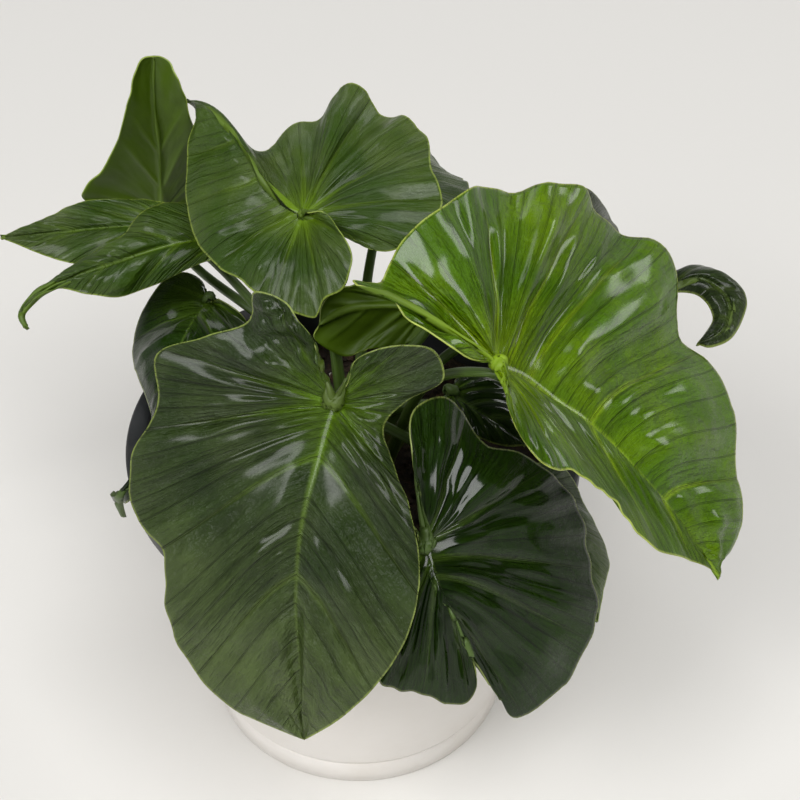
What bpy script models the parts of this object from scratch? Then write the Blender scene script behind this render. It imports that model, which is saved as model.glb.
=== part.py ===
# Potted philodendron: fourteen wavy heart-shaped leaves on arching stalks, growing from one short
# stem in a black grow pot that hangs by its lip inside a white cover pot.
# Metres, +Z up, origin at the centre of the cover pot's underside. Leaf outlines are in millimetres.

import math

import bmesh
import bpy
import numpy as np
from mathutils import Matrix, Vector

MM = 0.001
GAP = 0.3 * MM

# Cover pot
BASE_RADIUS = 57.5 * MM
FOOT_HEIGHT = 12 * MM
GROOVE_DEPTH = 1.0 * MM
GROOVE_WIDTH = 1.4 * MM
RIM_RADIUS = 77.5 * MM
COVER_HEIGHT = 126 * MM
COVER_WALL = 2.5 * MM
COVER_FLOOR = 4 * MM

# Grow pot
GROW_BASE_RADIUS = 49 * MM
GROW_BASE_Z = 9 * MM
GROW_TOP_RADIUS = 73.5 * MM
GROW_WALL = 1.5 * MM
LIP_RADIUS = 79.5 * MM
LIP_HEIGHT = 9 * MM
LIP_WALL = 1.2 * MM
LIP_TOP_Z = 130.5 * MM
DRAIN_HOLES = 6
DRAIN_RADIUS = 4 * MM
DRAIN_RING = 0.6
DRAIN_TURN = 0.37
POT_STEPS = 40

# Potting mix and stem
SOIL_Z = 113 * MM
SOIL_CROWN = 3 * MM
STEM_HEIGHT = 13 * MM
STEM_BASE_RADIUS = 8.5 * MM
STEM_TOP_RADIUS = 7.5 * MM

# Leaves
BLADE_THICKNESS = 0.8 * MM
BLADE_ROWS = 16
HALF_COLUMNS = 3
BLADE_CAMBER = 2.0 * MM
FAN_SHARE = 0.42
VEIN_POWER = 1.7
STALK_RADIUS = 2.3 * MM
STALK_TIP_SCALE = 0.7
STALK_POINTS = 8
STALK_RISE = 0.45
STALK_ARRIVAL = 0.3
STALK_END_Y = 1.0 * MM
STALK_END_DROP = 1.6 * MM
OUTER_RING = 12.2 * MM
INNER_RING = 4.6 * MM

# DRAIN_TURN keeps the holes clear of the floor's radial edges.

# Each leaf has its own frame: the origin is where the stalk joins the blade, +Y runs to the tip,
# +X is the right half and +Z is the upper face. "turn" is heading, pitch and roll in degrees.
# "spine" is the midrib; "right" and "left" are the margins from the notch round to the tip; the last
# spine point is the tip. "fan" is the share of each margin whose veins start at the stalk.
LEAVES = {
    "front": {
        "foot": 262, "lean": 0.3, "green": "#33502a",
        "at": (-4, -45, 188),
        "turn": (-99, -52, 0),
        "spine": [
            (3, 16, 3), (6, 37, 5), (6, 59, 4), (4, 81, 0), (1, 109, -9),
        ],
        "right": [
            (4, -8, 3), (7, -19, 7), (16, -29, 8), (26, -32, 7), (28, -23, 2), (42, -16, -1),
            (58, -8, -4), (56, 4, -5), (64, 27, -7), (61, 44, -8), (51, 53, -5), (48, 72, -5),
            (27, 100, -8), (15, 105, -9),
        ],
        "left": [
            (-4, -6, 3), (-6, -14, 6), (-18, -20, 8), (-29, -20, 7), (-33, -12, 3), (-22, -3, 1),
            (-16, 5, 1), (-22, 19, 4), (-29, 34, 8), (-32, 50, 7), (-30, 67, 6), (-22, 84, 3),
            (-9, 100, -3),
        ],
    },
    "front_right": {
        "foot": 300, "lean": 0.5, "green": "#22371f",
        "at": (24, -74, 156),
        "turn": (-50, -50, 0),
        "spine": [
            (3, 11, 3), (3, 24, 3), (2, 38, 0),
        ],
        "right": [
            (2, -8, 0), (8, -9, -4), (15, 1, -10), (21, 19, -16), (26, 35, -18), (18, 43, -12),
            (7, 53, -8), (4, 49, -3),
        ],
        "left": [
            (-3, -14, 3), (-6, -29, 6), (-14, -39, 4), (-25, -38, 2), (-31, -30, 0), (-34, -16, 0),
            (-42, -10, 3), (-49, 0, 2), (-58, 21, -4), (-55, 36, -6), (-49, 52, -5), (-34, 65, -8),
            (-20, 69, -9), (-7, 67, -10), (-4, 58, -7),
        ],
    },
    "right_bright": {
        "foot": 330, "lean": 0.3, "green": "#5f8a2c",
        "at": (45, -45, 205),
        "turn": (-28, -36, 0),
        "spine": [
            (-2, 7, 1), (-4, 19, 2), (-5, 30, 4), (-6, 42, 4), (-5, 55, 4), (-6, 68, 2),
            (-6, 85, -2), (-7, 96, -6), (-8, 100, -8),
        ],
        "right": [
            (2, 4, 1), (13, 6, 6), (22, 12, 10), (28, 20, 13), (29, 27, 15), (23, 33, 14),
            (20, 42, 13), (16, 51, 10), (15, 61, 6), (12, 71, 3), (0, 86, -3),
            (-6, 95, -6),
        ],
        "left": [
            (5, -4, 1), (11, -15, 2), (11, -23, 0), (11, -30, -2), (9, -35, -2), (14, -48, -4),
            (3, -41, -8), (-3, -43, -6), (-8, -45, -2), (-14, -45, 3), (-25, -43, 5),
            (-47, -38, 2), (-61, -28, -3), (-66, -24, 1), (-79, -11, 4), (-80, -2, 0),
            (-84, 9, -3), (-87, 15, 1), (-85, 31, 2), (-73, 41, -3), (-69, 46, -4), (-69, 56, -1),
            (-57, 72, 1), (-42, 84, -1), (-29, 94, -3), (-19, 98, -6),
            (-9, 97, -7),
        ],
    },
    "centre": {
        "foot": 130, "lean": 0.2, "inner": True, "green": "#4a6a3a",
        "at": (-16, 27, 205),
        "turn": (131, 5, -12),
        "fan_right": 0.78,
        "fan_left": 0.5,
        "spine": [
            (-3, 6, 3), (-4, 14, 6), (-1, 26, 8), (2, 39, 9), (4, 52, 9), (2, 68, 5),
        ],
        "right": [
            (5, -4, 1), (6, -14, -2), (7, -22, -4), (11, -28, -5), (19, -32, -4), (35, -30, 0),
            (42, -17, 3), (51, -4, 1), (51, 7, 2), (48, 18, -2), (49, 25, 5), (47, 29, 6),
            (40, 31, 3), (31, 31, -1), (26, 34, 0), (11, 34, -3), (9, 48, -6), (6, 62, 0),
        ],
        "left": [
            (0, -4, 4), (3, -8, 5), (2, -17, 5), (-2, -28, 1), (-9, -30, -5), (-16, -27, -8),
            (-19, -28, -12), (-23, -22, -12), (-28, -11, -9), (-28, 1, -10), (-30, 10, -10),
            (-29, 21, -9), (-26, 31, -7), (-16, 45, -4), (-7, 54, 1), (1, 58, 6),
        ],
    },
    "upright": {
        "foot": 112, "lean": 0.6, "green": "#55702a",
        "at": (-73, 86, 161),
        "turn": (-70, 75, 0),
        "spine": [
            (-1, 23, 2), (0, 50, 2), (0, 67, 3), (-1, 79, 4),
        ],
        "right": [
            (10, -1, 0), (22, 8, 0), (29, 17, 2), (21, 29, 2), (15, 42, 1), (12, 56, 0),
            (9, 67, 0), (6, 76, 2), (3, 80, 3),
        ],
        "left": [
            (-9, -3, 0), (-16, 9, -2), (-17, 31, -4), (-11, 53, -8), (-9, 64, -9), (-8, 71, -8),
            (-6, 78, -6), (-5, 80, -1), (-3, 80, 2),
        ],
    },
    "left_far": {
        "foot": 150, "lean": 0.15, "green": "#4f6b3c",
        "at": (-65, 65, 172),
        "turn": (178, 3, -25),
        "spine": [
            (-3, 19, 2), (-7, 40, 2), (-10, 62, 0),
        ],
        "right": [
            (4, -4, 0), (7, 3, 2), (8, 11, 2), (7, 22, 3), (6, 35, 1), (-1, 45, 2), (-6, 55, 1),
        ],
        "left": [
            (-6, -1, 0), (-13, 10, -2), (-18, 22, -1), (-19, 33, 1), (-15, 48, 0), (-12, 56, 0),
        ],
    },
    "left_near": {
        "foot": 178, "lean": 0.05, "green": "#4c6a3b",
        "at": (-44, 47, 181),
        "turn": (192, -8, -22),
        "fan_right": 0.33, "fan_left": 0.33, "vein_power": 1.0,
        "spine": [
            (0, 18, 3), (-2, 38, 4), (-3, 56, 2), (-5, 70, -1), (-10, 76, -3), (-15, 75, -4),
        ],
        "right": [
            (8, 0, 0), (15, 10, 1), (18, 19, 1), (16, 27, 2), (8, 37, 2), (3, 54, 1), (-2, 65, 0),
            (-5, 72, -1), (-9, 77, -3),
        ],
        "left": [
            (-7, 0, 0), (-7, 10, -2), (-11, 31, -3), (-12, 41, -3), (-10, 51, 0), (-4, 64, -1),
            (-7, 71, -2), (-10, 76, -3),
        ],
    },
    "left_hanging": {
        "foot": 215, "lean": 0.5, "green": "#2f4428",
        "at": (-53, 47, 152),
        "turn": (228, -20, 0),
        "fan_right": 0.25, "fan_left": 0.25, "vein_power": 1.0,
        "spine": [
            (-10, 16, 11), (-16, 31, 11), (-23, 46, 8), (-31, 59, 8), (-38, 72, 12), (-36, 76, 9),
            (-27, 78, -6), (-24, 79, -18),
        ],
        "right": [
            (7, -4, 1), (14, -2, 4), (17, 4, 5), (17, 12, 4), (15, 23, 1), (11, 31, -1),
            (-6, 41, 2), (-21, 50, 4), (-30, 61, 6), (-36, 72, 11), (-34, 76, 9), (-23, 78, -8),
        ],
        "left": [
            (-8, -1, 2), (-22, 1, 1), (-31, 15, 5), (-35, 31, 5), (-40, 48, 7), (-43, 64, 9),
            (-42, 71, 12), (-40, 76, 9), (-27, 77, -8),
        ],
    },
    "inner": {
        "foot": 50, "lean": 0.3, "inner": True, "green": "#5b7426",
        "at": (26, 8, 182),
        "turn": (180, 0, 105),
        "spine": [
            (0, 17, 1), (3, 30, 1), (7, 37, 0),
        ],
        "right": [
            (6, -1, 0), (11, 3, 0), (16, 11, 1), (16, 19, 0), (20, 29, 2), (17, 34, 1),
            (11, 39, 0),
        ],
        "left": [
            (-6, 8, 0), (-8, 20, 0), (-6, 30, 0), (0, 36, 0),
        ],
    },
    "right_hooked": {
        "foot": 8, "lean": 0.5, "green": "#3f5a34",
        "at": (92, 20, 172),
        "turn": (5, 0, -10),
        "fan_right": 0.25, "fan_left": 0.25, "vein_power": 1.0,
        "spine": [
            (-6, 17, 3), (-9, 30, 3), (-1, 37, -1), (7, 35, -6), (10, 29, -9), (10, 24, -11),
        ],
        "right": [
            (11, 0, 0), (1, 11, 0), (-6, 20, 0), (-5, 27, -1), (-1, 30, -3), (2, 31, -6),
            (6, 28, -9),
        ],
        "left": [
            (-14, 1, 0), (-20, 12, 1), (-17, 23, 2), (-21, 32, 2), (-17, 36, 2), (-3, 44, -2),
            (4, 41, -7), (13, 32, -10), (13, 27, -11),
        ],
    },
    "back_right": {
        "foot": 38, "lean": 0.4, "green": "#3f5a34",
        "at": (67, 34, 176),
        "turn": (45, -30, 0),
        "spine": [
            (-5, 17, 7), (-12, 40, 10), (-19, 65, 5), (-26, 92, -7),
        ],
        "right": [
            (8, -3, -4), (16, 8, -5), (15, 33, -5), (5, 59, -5), (-11, 82, -6),
        ],
        "left": [
            (-7, -2, 1), (-19, 8, 9), (-24, 24, 17), (-23, 42, 22), (-19, 52, 18), (-20, 66, 11),
            (-22, 83, 2),
        ],
    },
    "under_right": {
        "foot": 250, "lean": 0.1, "inner": True, "green": "#3f5a2c",
        "at": (53, -46, 150),
        "turn": (-38, -42, 0),
        "spine": [
            (-3, 14, 0), (-7, 32, -5), (-6, 48, -9), (-4, 55, -11),
        ],
        "right": [
            (7, 2, -1), (8, 15, -5), (6, 32, -9), (1, 47, -11),
        ],
        "left": [
            (-6, -3, 0), (-16, 0, 1), (-22, 8, 0), (-23, 20, -4), (-23, 34, -7), (-21, 43, -9),
            (-12, 49, -10),
        ],
    },
    "low_centre": {
        "foot": 340, "lean": 0.2, "inner": True, "green": "#22371f",
        "at": (33, -6, 156),
        "turn": (-35, -20, 0),
        "spine": [
            (1, 12, 3), (-1, 22, 2), (-2, 31, 0),
        ],
        "right": [
            (4, 0, 0), (8, 8, 0), (7, 20, 0), (3, 27, 0),
        ],
        "left": [
            (-6, -2, 0), (-12, 4, 2), (-15, 14, 2), (-13, 25, 0),
        ],
    },
    "back": {
        "foot": 85, "lean": 0.4, "green": "#5d7d40",
        "at": (11, 69, 184),
        "turn": (70, -30, 0),
        "spine": [
            (-1, 14, 8), (-1, 35, 12), (-3, 59, 10), (-4, 78, 4), (-4, 100, -7),
        ],
        "right": [
            (5, -5, -5), (14, -1, -5), (22, 15, -4), (22, 37, 1), (15, 51, 3), (8, 68, -1),
            (2, 85, -6),
        ],
        "left": [
            (-8, 0, -1), (-20, 11, 2), (-29, 31, 6), (-29, 49, 10), (-24, 66, 12), (-16, 77, 11),
            (-9, 90, 4),
        ],
    },
}


def colour(hex_value):
    """A linear colour from an sRGB hex value."""
    channels = [int(hex_value[i : i + 2], 16) / 255 for i in (1, 3, 5)]
    return [c / 12.92 if c <= 0.04045 else ((c + 0.055) / 1.055) ** 2.4 for c in channels] + [1.0]


def make_material(name, hex_value, roughness):
    material = bpy.data.materials.new(name)
    material.use_nodes = True
    shader = material.node_tree.nodes["Principled BSDF"]
    shader.inputs["Base Color"].default_value = colour(hex_value)
    shader.inputs["Roughness"].default_value = roughness
    shader.inputs["Metallic"].default_value = 0.0
    material.diffuse_color = colour(hex_value)
    return material


def add_object(name, data, material, collection):
    piece = bpy.data.objects.new(name, data)
    data.materials.append(material)
    collection.objects.link(piece)
    return piece


def smooth_line(points, count):
    """count points, evenly spaced, on a smooth curve through the given points."""
    points = np.array(points, float)
    chord = np.linalg.norm(np.diff(points, axis=0), axis=1)
    knots = np.concatenate([[0.0], np.cumsum(chord)])
    slopes = np.gradient(points, knots, axis=0)
    dense = []
    for i in range(len(points) - 1):
        u = np.linspace(0, 1, 9)[:-1, None]
        start, end = points[i], points[i + 1]
        out, into = slopes[i] * chord[i], slopes[i + 1] * chord[i]
        dense.append(
            start * (2 * u**3 - 3 * u**2 + 1)
            + out * (u**3 - 2 * u**2 + u)
            + end * (3 * u**2 - 2 * u**3)
            + into * (u**3 - u**2)
        )
    dense = np.vstack(dense + [points[-1:]])
    length = np.concatenate([[0.0], np.cumsum(np.linalg.norm(np.diff(dense, axis=0), axis=1))])
    even = np.linspace(0, length[-1], count)
    return np.stack([np.interp(even, length, dense[:, k]) for k in range(3)], axis=1)


def leaf_frame(leaf):
    """The leaf's axes and origin as one matrix: heading turns +Y, pitch lifts it, roll banks it."""
    heading, pitch, roll = (math.radians(a) for a in leaf["turn"])
    ahead = Vector((math.cos(heading), math.sin(heading), 0))
    tip = ahead * math.cos(pitch) + Vector((0, 0, math.sin(pitch)))
    level = Vector((math.sin(heading), -math.cos(heading), 0))
    upper = level.cross(tip)
    side = level * math.cos(roll) - upper * math.sin(roll)
    upper = level * math.sin(roll) + upper * math.cos(roll)
    axes = Matrix((side, tip, upper)).transposed()
    return Matrix.Translation(Vector(leaf["at"]) * MM) @ axes.to_4x4()


def make_blade(name, leaf, material, collection):
    """A sheet whose columns run from the midrib to each margin, thickened downwards."""
    spine = smooth_line([(0, 0, 0)] + leaf["spine"], 4 * BLADE_ROWS + 1)
    tip = leaf["spine"][-1]
    margins = {
        1: smooth_line([(0, 0, 0)] + leaf["right"] + [tip], BLADE_ROWS + 1),
        -1: smooth_line([(0, 0, 0)] + leaf["left"] + [tip], BLADE_ROWS + 1),
    }
    fans = {1: leaf.get("fan_right", FAN_SHARE), -1: leaf.get("fan_left", FAN_SHARE)}
    power = leaf.get("vein_power", VEIN_POWER)
    frame = leaf_frame(leaf)
    sheet = bmesh.new()
    bmesh.ops.create_grid(sheet, x_segments=2 * HALF_COLUMNS, y_segments=BLADE_ROWS, size=1.0)
    for vertex in sheet.verts:
        across, along = vertex.co.x, (vertex.co.y + 1) / 2
        side = 1 if across >= 0 else -1
        reach = abs(across)
        row = round(along * BLADE_ROWS)
        start = max(0.0, (along - fans[side]) / (1 - fans[side])) ** power
        root = spine[round(start * 4 * BLADE_ROWS)]
        point = Vector(root * (1 - reach) + margins[side][row] * reach) * MM
        point.z += BLADE_CAMBER * 4 * reach * (1 - reach) * math.sin(math.pi * along)
        vertex.co = frame @ point
    bmesh.ops.remove_doubles(sheet, verts=sheet.verts, dist=0.05 * MM)
    bmesh.ops.dissolve_degenerate(sheet, edges=sheet.edges, dist=0.01 * MM)
    mesh = bpy.data.meshes.new(name)
    sheet.to_mesh(mesh)
    sheet.free()
    mesh.shade_smooth()
    blade = add_object(name, mesh, material, collection)
    wall = blade.modifiers.new("Thickness", "SOLIDIFY")
    wall.thickness = BLADE_THICKNESS
    wall.offset = -1
    return blade


def make_stalk(name, leaf, foot, material, collection):
    """A tapered tube that rises from the stem and arches over to meet its blade from below."""
    frame = leaf_frame(leaf)
    axes = frame.to_3x3()
    end = frame @ Vector((0, STALK_END_Y, -BLADE_THICKNESS - GAP - STALK_END_DROP))
    arrive = axes @ Vector((0, 0.6, 0.8))
    outward = Vector((foot.x, foot.y, 0)).normalized()
    rise = (outward * leaf.get("lean", 0.3) + Vector((0, 0, 1))).normalized()
    reach = (end - foot).length
    start = foot + Vector((0, 0, STALK_RADIUS))
    lifted = start + rise * reach * STALK_RISE
    below = end - arrive * reach * STALK_ARRIVAL
    curve = bpy.data.curves.new(name, "CURVE")
    curve.dimensions = "3D"
    curve.bevel_depth = STALK_RADIUS
    curve.bevel_resolution = 2
    curve.use_fill_caps = True
    spline = curve.splines.new("POLY")
    spline.points.add(STALK_POINTS)
    spline.points[0].co = (*foot, 1.0)
    for i, point in enumerate(list(spline.points)[1:]):
        u = i / (STALK_POINTS - 1)
        place = start * (1 - u) ** 3 + lifted * 3 * u * (1 - u) ** 2
        place += below * 3 * u**2 * (1 - u) + end * u**3
        point.co = (*place, 1.0)
        point.radius = 1 - (1 - STALK_TIP_SCALE) * u
    return add_object(name, curve, material, collection)


def make_turned(name, runs, material, collection, steps=POT_STEPS):
    """Profile runs of (radius, height) turned round the Z axis, from the outside top downwards."""
    mesh = bpy.data.meshes.new(name)
    places = list(dict.fromkeys(point for run in runs for point in run))
    edges = [(places.index(a), places.index(b)) for run in runs for a, b in zip(run, run[1:])]
    mesh.from_pydata([(radius, 0, height) for radius, height in places], edges, [])
    turned = add_object(name, mesh, material, collection)
    screw = turned.modifiers.new("Turn", "SCREW")
    screw.steps = steps
    screw.render_steps = steps
    screw.use_merge_vertices = True
    screw.merge_threshold = 0.00001
    return turned


def cover_pot_profile():
    """Foot band, groove, flared wall and rounded rim, then the inside down to the floor."""
    flare = (RIM_RADIUS - BASE_RADIUS) / (COVER_HEIGHT - FOOT_HEIGHT)
    wall_z = FOOT_HEIGHT + GROOVE_WIDTH
    inner_base = BASE_RADIUS + flare * COVER_FLOOR - COVER_WALL
    return [
        (RIM_RADIUS - COVER_WALL / 2, COVER_HEIGHT),
        (RIM_RADIUS - COVER_WALL / 6, COVER_HEIGHT - COVER_WALL / 4),
        (RIM_RADIUS, COVER_HEIGHT - COVER_WALL),
        (BASE_RADIUS + 0.8 * MM, wall_z + 0.6 * MM),
        (BASE_RADIUS + 0.3 * MM, wall_z),
        (BASE_RADIUS - GROOVE_DEPTH, wall_z),
        (BASE_RADIUS - GROOVE_DEPTH, FOOT_HEIGHT),
        (BASE_RADIUS - 0.1 * MM, FOOT_HEIGHT),
        (BASE_RADIUS, FOOT_HEIGHT - 0.5 * MM),
        (BASE_RADIUS, 1.0 * MM),
        (BASE_RADIUS - 1.0 * MM, 0),
        (0, 0),
    ], [
        (0, COVER_FLOOR),
        (inner_base, COVER_FLOOR),
        (RIM_RADIUS - COVER_WALL, COVER_HEIGHT - COVER_WALL),
        (RIM_RADIUS - COVER_WALL * 5 / 6, COVER_HEIGHT - COVER_WALL / 4),
        (RIM_RADIUS - COVER_WALL / 2, COVER_HEIGHT),
    ]


def grow_pot_profile():
    """Turned-down lip, tapering wall, floor, and the inside back up to the lip."""
    lip_foot = LIP_TOP_Z - LIP_HEIGHT
    flange_z = COVER_HEIGHT + GAP
    return [
        (GROW_TOP_RADIUS - GROW_WALL + 1.0 * MM, LIP_TOP_Z),
        (LIP_RADIUS - 0.8 * MM, LIP_TOP_Z),
        (LIP_RADIUS, LIP_TOP_Z - 0.8 * MM),
        (LIP_RADIUS, lip_foot),
        (LIP_RADIUS - LIP_WALL, lip_foot),
        (LIP_RADIUS - LIP_WALL, flange_z),
        (GROW_TOP_RADIUS, flange_z),
        (GROW_BASE_RADIUS, GROW_BASE_Z + 1.5 * MM),
        (GROW_BASE_RADIUS - 1.5 * MM, GROW_BASE_Z),
        (0, GROW_BASE_Z),
    ], [
        (0, GROW_BASE_Z + GROW_WALL),
        (GROW_BASE_RADIUS - GROW_WALL, GROW_BASE_Z + GROW_WALL),
        (GROW_TOP_RADIUS - GROW_WALL, LIP_TOP_Z - 1.5 * MM),
        (GROW_TOP_RADIUS - GROW_WALL + 1.0 * MM, LIP_TOP_Z),
    ]


def soil_profile():
    """A low mound on a tapering root ball that fills the grow pot."""
    slope = (GROW_TOP_RADIUS - GROW_BASE_RADIUS) / (LIP_TOP_Z - GROW_BASE_Z)
    floor_z = GROW_BASE_Z + GROW_WALL + GAP
    clearance = GROW_WALL + 2 * GAP
    edge = GROW_BASE_RADIUS + slope * (SOIL_Z - GROW_BASE_Z) - clearance
    foot = GROW_BASE_RADIUS - clearance
    plateau = STEM_BASE_RADIUS + 6 * MM
    return [
        (0, SOIL_Z + SOIL_CROWN),
        (plateau, SOIL_Z + SOIL_CROWN),
        (edge * 0.6, SOIL_Z + SOIL_CROWN * 0.6),
        (edge * 0.93, SOIL_Z),
        (edge, SOIL_Z - 1.5 * MM),
        (foot, floor_z),
        (0, floor_z),
    ]


def drill_floor(pot, collection):
    """Drain holes through the grow pot's floor, on a ring."""
    for i in range(DRAIN_HOLES):
        angle = 2 * math.pi * (i + DRAIN_TURN) / DRAIN_HOLES
        drill = bmesh.new()
        bmesh.ops.create_cone(
            drill, cap_ends=True, segments=12, radius1=DRAIN_RADIUS, radius2=DRAIN_RADIUS, depth=8 * MM
        )
        mesh = bpy.data.meshes.new("drill_%d" % (i + 1))
        drill.to_mesh(mesh)
        drill.free()
        cutter = bpy.data.objects.new(mesh.name, mesh)
        ring = GROW_BASE_RADIUS * DRAIN_RING
        cutter.location = (ring * math.cos(angle), ring * math.sin(angle), GROW_BASE_Z + GROW_WALL / 2)
        cutter.hide_render = True
        cutter.display_type = "WIRE"
        collection.objects.link(cutter)
        cut = pot.modifiers.new("Drain", "BOOLEAN")
        cut.operation = "DIFFERENCE"
        cut.object = cutter


def main():
    for old in list(bpy.data.objects):
        bpy.data.objects.remove(old)
    plant = bpy.data.collections.new("potted_philodendron")
    cutters = bpy.data.collections.new("cutters")
    for collection in (plant, cutters):
        bpy.context.scene.collection.children.link(collection)

    white = make_material("white_plastic", "#e4dfd9", 0.45)
    black = make_material("black_plastic", "#15181a", 0.5)
    compost = make_material("potting_mix", "#2c2219", 0.95)
    bark = make_material("stem_green", "#54612a", 0.6)
    green = make_material("stalk_green", "#5c7d2c", 0.4)

    make_turned("cover_pot", cover_pot_profile(), white, plant)
    grow_pot = make_turned("grow_pot", grow_pot_profile(), black, plant)
    drill_floor(grow_pot, cutters)
    make_turned("potting_mix", [soil_profile()], compost, plant)
    stem_z = SOIL_Z + SOIL_CROWN + GAP
    stem_profile = [
        (0, stem_z + STEM_HEIGHT),
        (STEM_TOP_RADIUS, stem_z + STEM_HEIGHT),
        (STEM_BASE_RADIUS, stem_z),
        (0, stem_z),
    ]
    make_turned("stem", [stem_profile], bark, plant, steps=16)

    for name, leaf in LEAVES.items():
        blade_green = make_material("blade_" + name + "_green", leaf["green"], 0.3)
        make_blade("blade_" + name, leaf, blade_green, plant)
        ring = INNER_RING if leaf.get("inner") else OUTER_RING
        foot_z = stem_z + (STEM_HEIGHT if leaf.get("inner") else 0) + GAP
        angle = math.radians(leaf["foot"])
        foot = Vector((ring * math.cos(angle), ring * math.sin(angle), foot_z))
        make_stalk("stalk_" + name, leaf, foot, green, plant)


main()
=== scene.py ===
import math
import random

import bmesh
import bpy
import numpy as np
from mathutils import Matrix, Vector, noise


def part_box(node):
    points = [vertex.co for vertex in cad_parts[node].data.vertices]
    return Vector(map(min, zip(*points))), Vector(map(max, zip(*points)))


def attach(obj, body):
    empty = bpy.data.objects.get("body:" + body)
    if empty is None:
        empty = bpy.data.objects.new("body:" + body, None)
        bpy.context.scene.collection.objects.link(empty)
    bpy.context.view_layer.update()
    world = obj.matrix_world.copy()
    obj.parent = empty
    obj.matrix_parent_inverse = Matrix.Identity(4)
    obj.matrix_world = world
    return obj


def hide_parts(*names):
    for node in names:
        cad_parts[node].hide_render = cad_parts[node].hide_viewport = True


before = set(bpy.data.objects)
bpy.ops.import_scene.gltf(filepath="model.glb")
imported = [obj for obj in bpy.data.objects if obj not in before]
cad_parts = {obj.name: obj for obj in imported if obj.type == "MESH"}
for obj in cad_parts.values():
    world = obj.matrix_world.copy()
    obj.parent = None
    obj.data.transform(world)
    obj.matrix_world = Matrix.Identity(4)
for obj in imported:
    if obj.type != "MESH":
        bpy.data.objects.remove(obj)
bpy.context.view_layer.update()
print("frame:", len(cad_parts), "CAD nodes")

mm = 0.001
plantRandom = random.Random(7)
noise.seed_set(7)  # otherwise noise_vector, which shapes the compost crumbs, starts from the clock


def linearColour(hexValue):
    channels = [int(hexValue[i:i + 2], 16) / 255 for i in (1, 3, 5)]
    return [c / 12.92 if c <= 0.04045 else ((c + 0.055) / 1.055) ** 2.4 for c in channels] + [1.0]


# Adds one node. A value is a number, a colour, a socket, or a node whose first output is meant.
def addNode(tree, kind, values=None, **settings):
    node = tree.nodes.new("ShaderNode" + kind)
    node.location = (-200 * (len(tree.nodes) % 12), -240 * (len(tree.nodes) // 12))
    for key, value in settings.items():
        setattr(node, key, value)
    for key, value in (values or {}).items():
        if isinstance(value, bpy.types.Node):
            value = value.outputs[0]
        if isinstance(value, bpy.types.NodeSocket):
            tree.links.new(value, node.inputs[key])
        else:
            node.inputs[key].default_value = value
    return node


def startMaterial(name, hexValue):
    material = bpy.data.materials.new(name)
    material.use_nodes = True
    tree = material.node_tree
    shader = tree.nodes["Principled BSDF"]
    shader.inputs["Base Color"].default_value = linearColour(hexValue)
    material.diffuse_color = linearColour(hexValue)
    return material, tree, shader


def meshFrom(shape, name, smooth):
    mesh = bpy.data.meshes.new(name)
    shape.to_mesh(mesh)
    shape.free()
    if smooth:
        mesh.shade_smooth()
    return mesh


def finishPiece(name, shape, materials, replaced, smooth=True):
    piece = bpy.data.objects.new(name, meshFrom(shape, name, smooth))
    bpy.context.scene.collection.objects.link(piece)
    for material in materials:
        piece.data.materials.append(material)
    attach(piece, "root")
    if replaced:
        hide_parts(replaced)
    return piece


# Darkens and lightens one colour in patches, and returns the pattern.
def mottle(tree, shader, hexValue, scale, detail, darkest, lightest):
    place = addNode(tree, "TexCoord").outputs["Object"]
    cloud = addNode(tree, "TexNoise", {"Vector": place, "Scale": scale, "Detail": detail})
    tone = addNode(tree, "MapRange", {0: cloud, 1: 0.3, 2: 0.7, 3: darkest, 4: lightest})
    shade = addNode(tree, "VectorMath", {0: linearColour(hexValue)[:3], "Scale": tone},
                    operation="SCALE")
    tree.links.new(shade.outputs[0], shader.inputs["Base Color"])
    return cloud


# Cubic curve through the points, as evenly spaced points.
def smoothLine(points, count):
    points = np.array(points, float)
    chord = np.linalg.norm(np.diff(points, axis=0), axis=1)
    knots = np.concatenate([[0.0], np.cumsum(chord)])
    slopes = np.gradient(points, knots, axis=0)
    u = np.linspace(0, 1, 21)[:-1, None]
    dense = [
        points[i] * (2 * u**3 - 3 * u**2 + 1)
        + slopes[i] * chord[i] * (u**3 - 2 * u**2 + u)
        + points[i + 1] * (3 * u**2 - 2 * u**3)
        + slopes[i + 1] * chord[i] * (u**3 - u**2)
        for i in range(len(points) - 1)
    ]
    return resample(np.vstack(dense + [points[-1:]]), np.linspace(0, 1, count))


# Points at the given shares of a line's length.
def resample(line, shares):
    length = np.concatenate([[0.0], np.cumsum(np.linalg.norm(np.diff(line, axis=0), axis=1))])
    places = np.asarray(shares) * length[-1]
    return np.stack([np.interp(places, length, line[:, k]) for k in range(3)], axis=1)


def easeStep(low, high, value):
    t = np.clip((np.asarray(value, float) - low) / (high - low), 0, 1)
    return t * t * (3 - 2 * t)


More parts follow.
